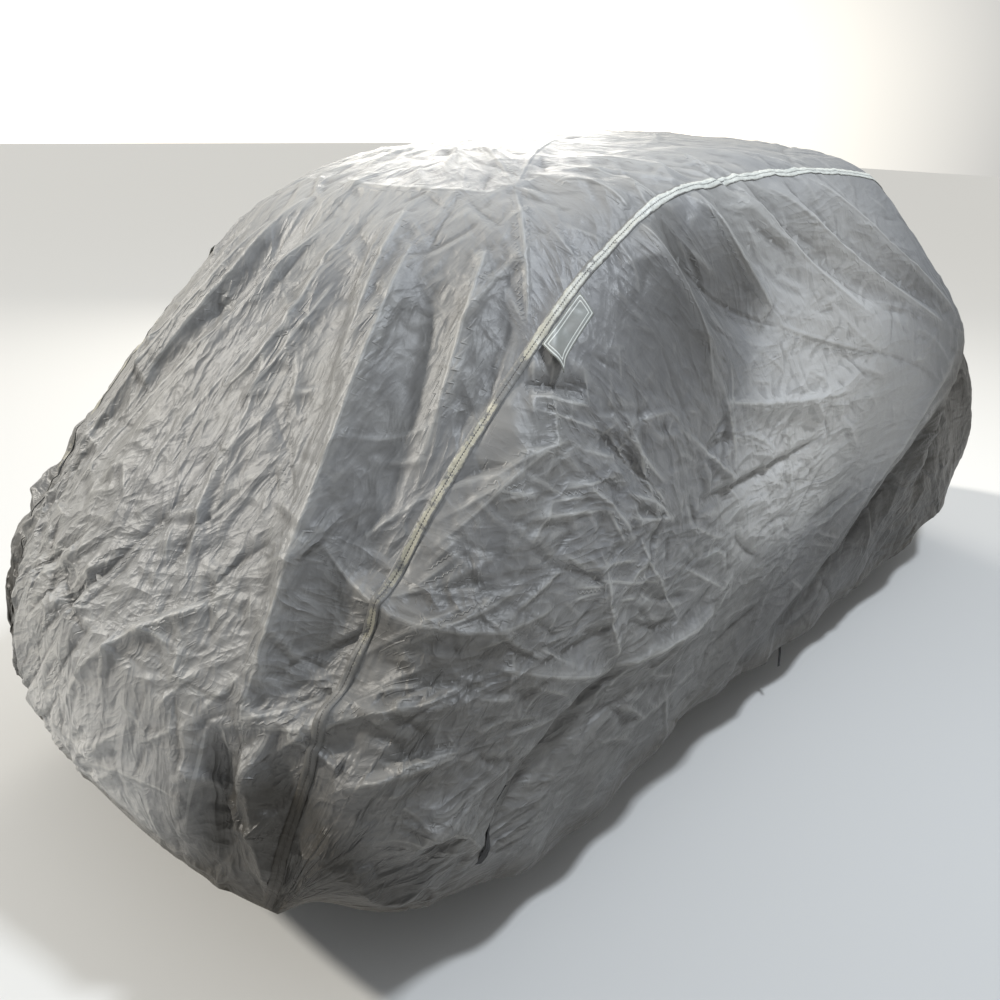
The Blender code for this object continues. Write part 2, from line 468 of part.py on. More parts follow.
def hanging_strap(name, lining, cuts, look, collection):
    """The loose end of a strap: its top lies behind the hem's last cell, and the rest hangs below the hem.

    lining is the cloth's inner grid. The strap lies on the one triangle of the cell that holds the hem.
    """
    row = np.searchsorted(lining[:, -1, 0], TAIL_PLACE)
    back, front = lining[row - 1, -1], lining[row, -1]
    upper, share = (row, TAIL_SHARE) if cuts[row - 1, -1] else (row - 1, 1 - TAIL_SHARE)
    along = (front - back) / np.linalg.norm(front - back)
    behind = np.cross(along, lining[upper, -2] - back)
    behind = behind / np.linalg.norm(behind)
    behind = behind * -math.copysign(1, behind[1] * back[1])
    rise = np.cross(along, behind)
    rise = rise * math.copysign(1, rise[2])
    down = np.array([0.0, TAIL_LAP, TAIL_LAP + TAIL_LONG / 2, TAIL_LAP + TAIL_LONG])
    swing = np.clip(down - TAIL_LAP, 0, None) ** 2 * TAIL_SWING
    middle = (back + (front - back) * share + behind * TAIL_GAP
              + rise * (TAIL_LAP - down)[:, None] - along * swing[:, None])
    half = along * (TAIL_STRAP_WIDE / 2 - TAIL_TAPER * down)[:, None]
    near = np.stack([middle - half, middle + half], axis=1)
    return sheet(name, near, near + behind * STRAP_THICK, np.zeros((3, 1), bool), look, collection)


def cover_grid():
    """Draped corners of all cells, from the left hem over both seams to the right hem, and their cuts.

    A cell is cut along the diagonal that runs closer to its own draped middle.
    """
    folds = REAR_FOLDS + RIGHT_FOLDS + ROOF_FOLDS + FRONT_FOLDS
    folds += [mirrored(fold) for fold in RIGHT_FOLDS]
    line = dense_sections(np.arange(sum(row[0] for row in SECTIONS) + 1.0))
    left = measured_out(line[:, DENSE::-1], TAPE_HALF, LEFT_COLUMNS, False)[:, ::-1]
    top = measured_out(line[:, DENSE:2 * DENSE + 1], TAPE_HALF, TOP_COLUMNS, True)
    right = measured_out(line[:, 2 * DENSE:], TAPE_HALF, RIGHT_COLUMNS, False)
    form = np.concatenate([left, top[:, 1:-1], right], axis=1)
    normals = grid_normals(form)
    corners = draped(form.reshape(-1, 3), normals.reshape(-1, 3), folds).reshape(form.shape)
    centre, outward = ((a[:-1, :-1] + a[1:, :-1] + a[:-1, 1:] + a[1:, 1:]).reshape(-1, 3) / 4
                       for a in (form, normals))
    middles = draped(centre, outward, folds).reshape(form.shape[0] - 1, -1, 3)
    first = np.linalg.norm((corners[:-1, :-1] + corners[1:, 1:]) / 2 - middles, axis=2)
    second = np.linalg.norm((corners[1:, :-1] + corners[:-1, 1:]) / 2 - middles, axis=2)
    return corners, second < first


def main():
    for item in list(bpy.data.objects):
        bpy.data.objects.remove(item, do_unlink=True)
    collection = bpy.data.collections.new("car_cover")
    bpy.context.scene.collection.children.link(collection)
    grid, cuts = cover_grid()
    normals = grid_normals(grid)
    seam_left = LEFT_COLUMNS + 1
    seam_right = seam_left + TOP_COLUMNS + 2
    spans = {"side_panel_left": (0, seam_left), "top_panel": (seam_left, seam_right),
             "side_panel_right": (seam_right, grid.shape[1] - 1)}
    pieces = []
    for name, (first, last) in spans.items():
        seams = [(edge, inside) for edge, inside, column in ((0, 1, first), (-1, -2, last))
                 if column in (seam_left, seam_right)]
        pieces.append(panel(name, grid[:, first:last + 1], normals[:, first:last + 1], cuts[:, first:last],
                            seams, CLOTH_LOOK, collection))
    for name, seam in (("right", seam_right), ("left", seam_left)):
        pieces.append(seam_tape("seam_tape_" + name, grid, normals, cuts, seam, TAPE_LOOK, collection))

    lining = grid - CLOTH * normals
    right = grid[:, seam_right:], lining[:, seam_right:], cuts[:, seam_right:]
    left = grid[:, seam_left::-1], lining[:, seam_left::-1], ~cuts[:, seam_left - 1::-1]
    for name, (cloth, inside, cloth_cuts), sign in (("right", right, -1), ("left", left, 1)):
        pieces.append(corner_flap("corner_flap_" + name, cloth, cloth_cuts, CLOTH_LOOK, collection))
        ends = [(x, y * sign, z) for x, y, z in HEM_STRAP]
        pieces.append(laid_strip("hem_strap_" + name, cloth, cloth_cuts, strap_corners(*ends, HEM_STRAP_WIDE),
                                 HEM_STRAP_CELLS, lambda along, across: LAID, STRAP_THICK, WEBBING_LOOK,
                                 collection))
        pieces.append(hanging_strap("strap_tail_" + name, inside, cloth_cuts, WEBBING_LOOK, collection))

    hang = bpy.data.objects.new("hang_point", None)
    collection.objects.link(hang)
    hang.location = -Vector(HANG)
    for piece in pieces:
        piece.parent = hang


main()
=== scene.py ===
"""Looks of a fitted car cover: fine cloth with its folds and creases, taped seams, flaps and webbing straps.

Every length is in metres. In the tables x runs from the tail to the nose, with 0 at 0.64 ahead of the tail,
y runs to the left and z is the height above the ground. HANG, the point under the roof, is the origin of the
frame. The left side repeats the right side's folds, as LEFT_SHIFT and LEFT_LIFT say.
"""
import math

import bpy
import numpy as np
from mathutils import Matrix, Vector


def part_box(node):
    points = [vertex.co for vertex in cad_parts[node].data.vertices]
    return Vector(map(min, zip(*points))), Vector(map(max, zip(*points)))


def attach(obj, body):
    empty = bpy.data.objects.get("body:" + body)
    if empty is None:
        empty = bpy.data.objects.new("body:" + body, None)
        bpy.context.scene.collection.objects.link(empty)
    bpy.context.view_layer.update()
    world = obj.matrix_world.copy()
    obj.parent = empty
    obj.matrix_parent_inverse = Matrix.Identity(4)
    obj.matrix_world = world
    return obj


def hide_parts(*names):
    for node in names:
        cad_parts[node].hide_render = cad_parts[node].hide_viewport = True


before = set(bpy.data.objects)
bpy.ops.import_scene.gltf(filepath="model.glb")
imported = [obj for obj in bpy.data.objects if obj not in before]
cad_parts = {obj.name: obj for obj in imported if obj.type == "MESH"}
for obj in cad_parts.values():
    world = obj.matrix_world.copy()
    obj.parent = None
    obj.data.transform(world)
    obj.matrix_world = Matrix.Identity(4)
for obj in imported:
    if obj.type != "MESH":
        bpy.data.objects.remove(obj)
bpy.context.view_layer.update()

HANG = np.array((0.88, 0.0, 1.358))

# ---------------------------------------------------------------- the camera
CAMERA_PLACE = (-1.110, -1.429, 1.403)
CAMERA_YAW = 41.74       # degrees from +x towards +y
CAMERA_DOWN = 23.20
CAMERA_ROLL = 1.90
CAMERA_LENS = 32.7       # mm, for a sensor 36 mm wide

# ---------------------------------------------------------------- the hanging form
SECTION_COLUMNS = ("rows", "seam_x", "seam_y", "seam_z", "mid_x", "mid_z",
                   "hem_x", "hem_y", "hem_z", "turn", "out")
SECTIONS = [
    (0, -0.535, 0.47, 0.215, -0.6, 0.226, -0.535, 0.47, 0.215, 60, 0.0),   # rear hem
    (3, -0.525, 0.52, 0.34, -0.635, 0.355, -0.505, 0.542, 0.268, 55, 0.022),   # tail, lower bulge
    (4, -0.475, 0.53, 0.49, -0.618, 0.52, -0.44, 0.6, 0.24, 45, 0.058),   # tail, top
    (4, -0.375, 0.522, 0.65, -0.515, 0.69, -0.34, 0.635, 0.217, 35, 0.095),   # foot of the rear slope
    (5, -0.23, 0.512, 0.836, -0.35, 0.89, -0.225, 0.66, 0.19, 20, 0.103),
    (6, -0.032, 0.51, 1.038, -0.135, 1.105, -0.06, 0.668, 0.16, 8, 0.098),
    (5, 0.163, 0.5, 1.185, 0.085, 1.277, 0.14, 0.67, 0.178, 0, 0.095),       # head of the rear slope
    (6, 0.426, 0.49, 1.297, 0.38, 1.34, 0.37, 0.668, 0.236, 0, 0.095),       # roof, rear
    (7, 0.87, 0.485, 1.32, 0.88, 1.363, 0.92, 0.65, 0.16, 0, 0.095),       # roof, highest
    (7, 1.29, 0.48, 1.298, 1.33, 1.35, 1.34, 0.65, 0.166, 0, 0.095),       # roof, front edge
    (3, 1.49, 0.51, 1.165, 1.56, 1.22, 1.54, 0.652, 0.168, 0, 0.096),
    (3, 1.65, 0.52, 0.97, 1.72, 0.995, 1.72, 0.655, 0.175, 0, 0.08),       # foot of the front slope
    (4, 1.95, 0.51, 0.865, 1.98, 0.9, 1.93, 0.652, 0.2, -10, 0.08),
    (4, 2.2, 0.49, 0.76, 2.28, 0.8, 2.1, 0.63, 0.215, -25, 0.085),     # nose, top
    (3, 2.31, 0.48, 0.56, 2.42, 0.6, 2.21, 0.59, 0.215, -40, 0.07),
    (2, 2.33, 0.475, 0.38, 2.435, 0.4, 2.28, 0.535, 0.21, -50, 0.04),
    (2, 2.31, 0.46, 0.21, 2.39, 0.21, 2.31, 0.46, 0.21, -60, 0.0),     # front hem
]
CROWN = 2.4              # power of the top panel's crown: the higher, the flatter its middle
SHOULDER = 0.72          # power that moves the side's bulge up towards the seam
LEFT_REACH = 0.4         # the left half is drawn in and hangs lower, by these parts, fully from this y on
LEFT_NARROW = 0.02
LEFT_SAG = 0.008
TENT_COLUMNS = ("x", "z", "reach_back", "reach_front", "reach_up", "reach_down", "lift")
TENT = (1.560, 0.905, 0.95, 0.17, 0.55, 0.55, 0.102)
TENT_POWER = 1.15
TENT_START = 0.2         # part of the side's height, below the seam, over which the push sets in
DENSE = 144              # points along each panel of a section before it is rounded and measured out
ROUNDING = 126           # passes of averaging that round the section over the seam

# How finely the cloth is cut: steps for each row of SECTIONS' rows, up to a row, and columns of each panel.
ROW_STEPS = ((26, 9), (50, 8), (68, 5))
TOP_COLUMNS = 160
RIGHT_COLUMNS = 166
LEFT_COLUMNS = 86
BACK_STRIDE = 4          # the cloth's inner face has one cell for this many of its outer face, each way
COARSE_STRIDE = 3        # the way of the folds is worked out on every third point
TAPE_HALF = 0.010        # half the width of the tape over a seam
TAPE_SHARE = 0.4         # the most that the tape takes of a section that is short
TAPE_CELLS = 2           # columns in each half of the tape

# ---------------------------------------------------------------- folds
# A row may leave out its last columns, where the usual ones hold.
FOLD_COLUMNS = ("start", "middle", "end", "lift", "width_start", "width_end", "lean")
FOLD_USUAL = (0.03, 0.03, 0.0)       # widths and lean
CREASE_USUAL = (0.012, 0.012, 0.0)
REAR_FOLDS = [
    # the taut ridge from the roof's edge to the corner of the tail
    ((-0.005, -0.23, 1.2), (-0.245, -0.332, 0.93), (-0.54, -0.395, 0.46), 0.04, 0.04, 0.045, 0.2),
    ((-0.08, -0.3, 1.11), (-0.14, -0.372, 1.02), (-0.34, -0.455, 0.78), -0.015, 0.04, 0.05),
    ((0.04, -0.355, 1.19), (-0.08, -0.41, 1.055), (-0.24, -0.47, 0.85), 0.017),
    ((0.025, -0.173, 1.232), (-0.08, -0.21, 1.13), (-0.23, -0.285, 0.96), 0.018),
    # long parallel folds down the left half, with one wide trough between them
    ((-0.005, -0.016, 1.224), (-0.2, 0.09, 1.045), (-0.45, 0.21, 0.75), -0.019, 0.055, 0.065),
    ((0.02, 0.11, 1.237), (-0.165, 0.15, 1.065), (-0.37, 0.245, 0.83), 0.024, 0.03, 0.03, 0.3),
    ((-0.025, 0.18, 1.194), (-0.22, 0.215, 1.005), (-0.435, 0.325, 0.72), 0.022),
    ((-0.018, -0.035, 1.212), (-0.205, 0.02, 1.036), (-0.46, 0.11, 0.755), 0.027, 0.04, 0.05),
    ((-0.057, -0.09, 1.175), (-0.15, -0.11, 1.085), (-0.33, -0.08, 0.905), 0.015),
    ((0.01, 0.33, 1.18), (-0.15, 0.37, 1.02), (-0.35, 0.42, 0.76), -0.013, 0.03, 0.04),
    # the tail: a hollow above its bulge, and pleats that fall from the corner
    ((-0.515, 0.33, 0.6), (-0.56, 0.17, 0.625), (-0.565, 0.0, 0.62), -0.019),
    ((-0.55, -0.32, 0.53), (-0.58, -0.32, 0.43), (-0.598, -0.31, 0.3), 0.019),
    ((-0.534, -0.367, 0.532), (-0.553, -0.385, 0.44), (-0.566, -0.4, 0.3), -0.033),
    ((-0.526, -0.406, 0.5), (-0.53, -0.445, 0.43), (-0.531, -0.48, 0.27), 0.027),
    ((-0.61, 0.3, 0.5), (-0.63, 0.24, 0.4), (-0.615, 0.23, 0.26), 0.015, 0.03, 0.035),
    ((-0.62, -0.08, 0.48), (-0.64, -0.11, 0.38), (-0.62, -0.12, 0.25), 0.013, 0.03, 0.035),
]
RIGHT_FOLDS = [
    # gathers from the roof seam that run together at the tent point, ridge and trough by turns
    ((0.9, -0.48, 1.29), (1.15, -0.61, 1.14), (1.48, -0.705, 0.937), 0.024, 0.036, 0.012),
    ((0.8, -0.48, 1.285), (1.0, -0.59, 1.14), (1.36, -0.694, 0.965), -0.019, 0.036, 0.022),
    ((0.711, -0.48, 1.285), (0.94, -0.59, 1.145), (1.39, -0.706, 0.935), 0.024, 0.034, 0.012),
    ((0.644, -0.48, 1.285), (0.8, -0.58, 1.15), (1.2, -0.68, 0.985), -0.019, 0.036, 0.024),
    ((0.59, -0.48, 1.285), (0.74, -0.579, 1.143), (1.05, -0.662, 0.99), 0.021, 0.032),
    ((0.512, -0.48, 1.28), (0.56, -0.56, 1.18), (0.74, -0.61, 1.06), -0.015),
    ((0.447, -0.48, 1.276), (0.49, -0.571, 1.158), (0.62, -0.612, 1.05), 0.019),
    ((0.345, -0.49, 1.25), (0.39, -0.585, 1.12), (0.62, -0.622, 1.01), -0.033, 0.045, 0.05),
    ((0.273, -0.487, 1.235), (0.3, -0.583, 1.108), (0.385, -0.64, 0.92), 0.027, 0.03, 0.034),
    ((0.38, -0.645, 0.915), (0.68, -0.66, 0.858), (0.96, -0.682, 0.838), 0.018, 0.03, 0.034),
    ((0.64, -0.62, 1.02), (0.82, -0.65, 0.955), (1.06, -0.682, 0.905), -0.015, 0.03, 0.03, 0.3),
    # the taut line from the tent point down to the hem, with the cloth tucked in under it
    ((1.49, -0.722, 0.88), (1.0, -0.68, 0.44), (0.33, -0.672, 0.255), 0.03, 0.03, 0.04, 0.5),
    ((1.54, -0.715, 0.76), (1.25, -0.68, 0.38), (0.7, -0.665, 0.24), -0.045, 0.05, 0.04),
    ((1.59, -0.69, 0.82), (1.64, -0.68, 0.6), (1.66, -0.672, 0.34), -0.045, 0.045, 0.06),
    # creases of the rear quarter
    ((0.052, -0.682, 0.498), (0.25, -0.68, 0.49), (0.409, -0.677, 0.479), 0.026, 0.03, 0.03, 0.5),
    ((0.0, -0.658, 0.755), (0.018, -0.676, 0.62), (0.06, -0.682, 0.51), 0.013),
    ((-0.51, -0.406, 0.535), (-0.395, -0.575, 0.592), (-0.2, -0.672, 0.568), 0.022, 0.03, 0.03, 0.4),
    ((-0.254, -0.647, 0.635), (-0.113, -0.678, 0.569), (0.052, -0.682, 0.498), 0.021, 0.03, 0.03, 0.4),
    ((-0.487, -0.549, 0.469), (-0.4, -0.625, 0.516), (-0.3, -0.662, 0.5), 0.019, 0.03, 0.03, 0.4),
    ((-0.348, -0.392, 0.777), (-0.313, -0.577, 0.693), (-0.111, -0.661, 0.687), 0.019, 0.03, 0.034),
    ((-0.41, -0.64, 0.35), (-0.365, -0.654, 0.428), (-0.27, -0.667, 0.31), 0.033),
    ((-0.478, -0.596, 0.385), (-0.44, -0.612, 0.3), (-0.36, -0.645, 0.3), 0.019),
    ((0.1, -0.681, 0.47), (-0.08, -0.682, 0.425), (-0.255, -0.668, 0.29), -0.039, 0.036, 0.04, 0.3),
    ((-0.02, -0.535, 1.02), (0.04, -0.605, 0.935), (0.19, -0.66, 0.79), -0.015, 0.034, 0.04),
    ((-0.06, -0.51, 1.0), (-0.12, -0.59, 0.88), (-0.15, -0.65, 0.76), 0.018, 0.034, 0.04),
]
ROOF_FOLDS = [
    # ripples that cross the roof's right edge
    ((0.24, -0.29, 1.285), (0.27, -0.385, 1.278), (0.285, -0.47, 1.248), 0.011),
    ((0.35, -0.26, 1.32), (0.405, -0.383, 1.309), (0.45, -0.47, 1.285), 0.012),
    ((0.46, -0.29, 1.329), (0.53, -0.38, 1.318), (0.59, -0.47, 1.29), 0.012),
    ((0.6, -0.29, 1.34), (0.7, -0.38, 1.328), (0.8, -0.47, 1.3), 0.012),
]
FRONT_FOLDS = [
    # the slack of the front slope and the draw towards the nose corners
    ((1.34, -0.38, 1.33), (1.5, -0.2, 1.24), (1.7, -0.06, 1.01), -0.024, 0.05, 0.06),
    ((1.36, 0.36, 1.325), (1.54, 0.22, 1.215), (1.72, 0.14, 1.0), -0.021, 0.045, 0.055),
    ((1.4, 0.04, 1.33), (1.56, 0.02, 1.215), (1.72, 0.04, 0.998), 0.015, 0.04, 0.045),
    ((1.66, -0.5, 0.965), (1.9, -0.38, 0.905), (2.2, -0.3, 0.83), 0.018, 0.045, 0.05),
    ((1.68, 0.48, 0.96), (1.93, 0.36, 0.9), (2.23, 0.32, 0.82), 0.017, 0.045, 0.05),
    ((2.38, 0.22, 0.68), (2.43, 0.24, 0.48), (2.4, 0.25, 0.26), 0.018, 0.045, 0.045),
    ((2.38, -0.16, 0.69), (2.43, -0.17, 0.48), (2.4, -0.18, 0.26), -0.018, 0.045, 0.045),
    ((1.62, -0.7, 0.72), (1.8, -0.7, 0.58), (2.0, -0.67, 0.42), 0.024, 0.05, 0.06),
    ((1.6, -0.71, 0.8), (1.85, -0.7, 0.56), (2.08, -0.66, 0.36), -0.021, 0.04, 0.05),
    ((1.9, -0.6, 0.82), (2.06, -0.69, 0.56), (2.15, -0.65, 0.33), 0.021, 0.045, 0.05),
]
LEFT_SHIFT = 0.035       # along x
LEFT_LIFT = 0.85         # lift for 1 on the right
PATH_PIECES = 8          # straight pieces that a fold's crest is measured along
FOLD_END = 0.38          # part of a fold's length over which it rises from nothing
FOLD_SHARE = 0.75        # the folds' lift here for 1 in their table, as the creases lie on top of them
FOLD_CREST = 0.009       # rounding of a fold's crest
CREASE_CREST = 0.008
TROUGH_SOFT = 1.9        # a trough is rounded by this much more than a crest
FLANK_POWER = 2.0        # above 1 makes the flanks hollow
FOLD_MARGIN = 0.04       # points this much beyond a fold's reach are still worked on
SLACK = 0.0035           # height of the long low waves of the slack, all together
SLACK_WAVES = ((7.1, 3.3, 5.2), (-4.4, 8.7, 6.3), (11.3, -5.9, 3.1))
RUFFLE = 0.007           # height of the hem's ruffles, and how they fade above RUFFLE_HEIGHT
RUFFLE_HEIGHT = 0.2
RUFFLE_REACH = 0.16
RUFFLE_RATE = 24.0       # radians a metre
RUFFLE_DRIFT = 3.0
RUFFLE_DRIFT_RATE = 2.0

# Sharp creases, placed as the photograph shows them, with the columns of the folds. They lie on top of those.
CREASES = [
    # the two that meet behind the roof's right rear corner, and on down to the seam
    ((0.37, 0.015, 1.339), (0.275, -0.14, 1.309), (0.173, -0.296, 1.274), 0.005, 0.016, 0.016),
    ((0.534, -0.099, 1.349), (0.355, -0.195, 1.315), (0.173, -0.296, 1.274), 0.0045, 0.015, 0.015),
    ((0.173, -0.296, 1.274), (0.077, -0.408, 1.188), (0.004, -0.481, 1.084), 0.006, 0.016, 0.016),
    # the rear slope's right half
    ((-0.004, -0.228, 1.199), (-0.245, -0.332, 0.93), (-0.54, -0.395, 0.48), 0.013, 0.024, 0.022, 0.3),
    ((0.041, -0.353, 1.19), (-0.042, -0.394, 1.099), (-0.201, -0.459, 0.901), 0.0075, 0.014, 0.014),
    ((0.024, -0.173, 1.232), (-0.05, -0.205, 1.165), (-0.19, -0.267, 1.017), 0.0075, 0.013, 0.013, 0.2),
    ((-0.024, -0.079, 1.205), (-0.096, -0.087, 1.138), (-0.156, -0.095, 1.082), 0.0045),
    ((0.047, 0.031, 1.258), (0.0, 0.036, 1.222), (-0.052, 0.039, 1.182), 0.004),
    # the rear slope's left half
    ((-0.024, 0.173, 1.194), (-0.22, 0.2, 1.005), (-0.433, 0.314, 0.721), 0.0085, 0.016, 0.016, 0.3),
    ((0.02, 0.11, 1.237), (-0.165, 0.145, 1.065), (-0.318, 0.209, 0.9), 0.0085, 0.014, 0.016, 0.3),
    ((-0.018, -0.031, 1.212), (-0.205, 0.03, 1.036), (-0.424, 0.123, 0.798), 0.0085, 0.016, 0.016, 0.3),
    ((0.0, 0.26, 1.2), (-0.19, 0.31, 1.0), (-0.42, 0.4, 0.7), 0.007, 0.014, 0.014, 0.2),
    ((-0.14, 0.06, 1.105), (-0.3, 0.15, 0.93), (-0.5, 0.23, 0.68), 0.006, 0.012, 0.012, 0.2),
    ((-0.057, -0.079, 1.175), (-0.216, -0.11, 1.024), (-0.297, -0.047, 0.946), 0.0065),
    ((-0.111, -0.142, 1.118), (-0.2, -0.138, 1.035), (-0.293, -0.124, 0.944), 0.0045),
    ((0.063, 0.078, 1.265), (0.07, -0.117, 1.263), (0.145, -0.281, 1.268), 0.004, 0.018, 0.018),
    # roof ripples that run to the right seam
    ((0.353, -0.268, 1.322), (0.406, -0.383, 1.309), (0.482, -0.466, 1.288), 0.0045),
    ((0.29, -0.293, 1.307), (0.325, -0.392, 1.293), (0.35, -0.484, 1.26), 0.0045),
    ((0.233, -0.341, 1.282), (0.271, -0.394, 1.278), (0.279, -0.472, 1.247), 0.0045),
    ((0.461, -0.29, 1.329), (0.539, -0.374, 1.32), (0.566, -0.458, 1.297), 0.0045),
    ((0.738, -0.35, 1.334), (0.845, -0.432, 1.316), (0.908, -0.47, 1.298), 0.004),
    # gathers that run to the tent point
    ((0.899, -0.485, 1.287), (1.15, -0.6, 1.14), (1.479, -0.705, 0.937), 0.006, 0.016, 0.008),
    ((0.797, -0.5, 1.273), (1.02, -0.6, 1.135), (1.356, -0.694, 0.969), -0.0035, 0.022, 0.016),
    ((0.711, -0.501, 1.271), (0.96, -0.595, 1.135), (1.397, -0.708, 0.933), 0.006, 0.014, 0.008),
    ((0.644, -0.494, 1.276), (0.81, -0.58, 1.145), (1.062, -0.653, 1.02), -0.0035, 0.022, 0.016),
    ((0.596, -0.48, 1.285), (0.739, -0.579, 1.143), (1.053, -0.662, 0.99), 0.0055, 0.018, 0.01),
    ((0.447, -0.482, 1.276), (0.49, -0.571, 1.158), (0.61, -0.61, 1.055), 0.007),
    ((0.334, -0.5, 1.244), (0.385, -0.58, 1.125), (0.629, -0.622, 1.016), -0.005, 0.026, 0.026),
    ((0.273, -0.487, 1.233), (0.31, -0.585, 1.09), (0.341, -0.637, 0.954), 0.007, 0.014, 0.014),
    # the side, below them
    ((0.381, -0.646, 0.917), (0.615, -0.653, 0.87), (0.921, -0.681, 0.839), 0.006, 0.012, 0.012, 0.3),
    ((0.619, -0.619, 1.026), (0.797, -0.645, 0.972), (1.044, -0.682, 0.909), 0.005),
    ((0.665, -0.662, 0.818), (0.68, -0.67, 0.73), (0.704, -0.675, 0.636), 0.004),
    ((0.038, -0.607, 0.938), (0.101, -0.642, 0.862), (0.175, -0.659, 0.803), -0.006),
    ((-0.001, -0.658, 0.753), (0.015, -0.678, 0.612), (0.059, -0.682, 0.518), 0.005),
    ((0.112, -0.667, 0.735), (0.144, -0.675, 0.666), (0.26, -0.679, 0.512), 0.005),
    # the rear quarter
    ((0.052, -0.682, 0.498), (0.23, -0.68, 0.492), (0.409, -0.677, 0.479), 0.009, 0.01, 0.01, 0.4),
    ((-0.515, -0.39, 0.544), (-0.475, -0.44, 0.56), (-0.429, -0.492, 0.591), 0.005, 0.01, 0.01),
    ((-0.511, -0.406, 0.535), (-0.42, -0.555, 0.575), (-0.274, -0.643, 0.627), 0.006),
    ((-0.254, -0.647, 0.635), (-0.113, -0.678, 0.569), (0.052, -0.682, 0.498), 0.006, 0.012, 0.012, 0.3),
    ((-0.487, -0.549, 0.469), (-0.41, -0.62, 0.516), (-0.328, -0.655, 0.522), 0.006, 0.012, 0.012, 0.3),
    ((-0.403, -0.643, 0.38), (-0.37, -0.653, 0.423), (-0.264, -0.667, 0.292), 0.007, 0.012, 0.012, 0.3),
    ((-0.478, -0.596, 0.393), (-0.445, -0.61, 0.3), (-0.372, -0.643, 0.3), 0.006),
    ((-0.348, -0.392, 0.777), (-0.313, -0.577, 0.693), (-0.111, -0.661, 0.687), 0.006),
    ((0.092, -0.681, 0.474), (-0.1, -0.682, 0.435), (-0.263, -0.667, 0.287), -0.008, 0.014, 0.014, 0.4),
    # the pucker below the corner flap
    ((-0.05, -0.525, 1.005), (-0.01, -0.548, 1.0), (0.04, -0.575, 0.985), -0.008),
    ((-0.05, -0.535, 0.985), (-0.01, -0.56, 0.978), (0.045, -0.59, 0.965), 0.008),
    # the corner of the tail
    ((-0.534, -0.367, 0.532), (-0.551, -0.39, 0.45), (-0.566, -0.405, 0.333), 0.006, 0.012, 0.014),
    ((-0.526, -0.406, 0.5), (-0.53, -0.445, 0.43), (-0.531, -0.482, 0.259), 0.006, 0.012, 0.014),
    ((-0.55, -0.345, 0.521), (-0.575, -0.345, 0.44), (-0.594, -0.329, 0.328), 0.005),
    ((-0.636, 0.107, 0.35), (-0.634, -0.11, 0.37), (-0.591, -0.322, 0.402), 0.0045, 0.014, 0.014),
    ((-0.521, 0.322, 0.593), (-0.54, 0.17, 0.64), (-0.56, 0.015, 0.628), 0.005, 0.014, 0.014),
]

# ---------------------------------------------------------------- crumples
# The cloth is a little too large for the form, so it buckles into creases of its own. busy is how much slack
# each region has, by a point in it and its reach; between the regions CALM holds.
SEED = 11
CALM = 0.6
BUSY = [
    # x, y, z, reach, busy
    (-0.6, 0.25, 0.45, 0.42, 1.5),     # the tail, left
    (-0.55, -0.2, 0.5, 0.3, 1.0),
    (-0.25, 0.1, 0.9, 0.4, 0.55),     # the rear slope
    (-0.15, -0.4, 0.95, 0.22, 0.35),    # its smooth right edge
    (0.02, -0.1, 1.22, 0.25, 0.65),
    (0.8, 0.0, 1.36, 0.7, 0.3),      # the roof
    (0.35, -0.6, 1.1, 0.3, 0.4),     # the side below the roof's seam
    (0.9, -0.6, 1.12, 0.35, 0.4),
    (0.6, -0.66, 0.8, 0.35, 1.1),
    (0.0, -0.64, 0.7, 0.35, 1.2),     # the rear quarter
    (-0.35, -0.6, 0.45, 0.3, 1.5),
    (1.25, -0.7, 0.75, 0.25, 0.15),     # the taut part under the tent point
    (1.5, -0.68, 0.4, 0.3, 0.8),
]
TURNS = (0.0, 60.0, 120.0)   # degrees from the rows' run, of the three patterns of crinkles
ELSEWHERE_SHARE = 0.15       # weight of what holds between the regions
# Painted light and shade: the cloth is painted paler where light falls on it, on the roof and parts of the
# side, and darker where shade falls, low down, towards the front and in corners. The left side is like the
# right.
PAINTED_LIGHT_SHADE = [
    # x, y, z, reach, painted light and shade
    (0.4, -0.1, 1.33, 0.5, 1.35),
    (1.0, -0.15, 1.36, 0.6, 1.1),
    (0.06, -0.08, 1.22, 0.2, 1.35),
    (-0.15, -0.15, 1.0, 0.4, 0.95),
    (-0.55, 0.3, 0.62, 0.25, 0.1),
    (-0.55, -0.15, 0.5, 0.3, 1.1),
    (-0.61, -0.1, 0.35, 0.22, 1.6),
    (-0.59, -0.33, 0.32, 0.12, 0.85),
    (-0.53, -0.47, 0.26, 0.2, -2.5),
    (-0.35, -0.62, 0.38, 0.25, 0.5),
    (-0.3, -0.6, 0.6, 0.2, 0.4),
    (0.1, -0.67, 0.28, 0.25, 0.45),
    (0.6, -0.67, 0.3, 0.25, 0.2),
    (0.2, -0.66, 0.75, 0.35, 0.95),
    (0.3, -0.6, 1.08, 0.22, 0.4),
    (0.9, -0.62, 1.05, 0.3, 1.55),
    (0.65, -0.65, 0.75, 0.3, 1.6),
    (1.2, -0.69, 0.7, 0.25, 1.2),
    (1.0, -0.68, 0.32, 0.2, 0.15),
    (1.35, -0.68, 0.38, 0.22, 0.0),
    (1.72, -0.68, 0.66, 0.2, -1.6),
    (1.9, -0.68, 0.5, 0.45, -0.8),
]
PAINTED_LIGHT_SHADE_ELSEWHERE = 0.95
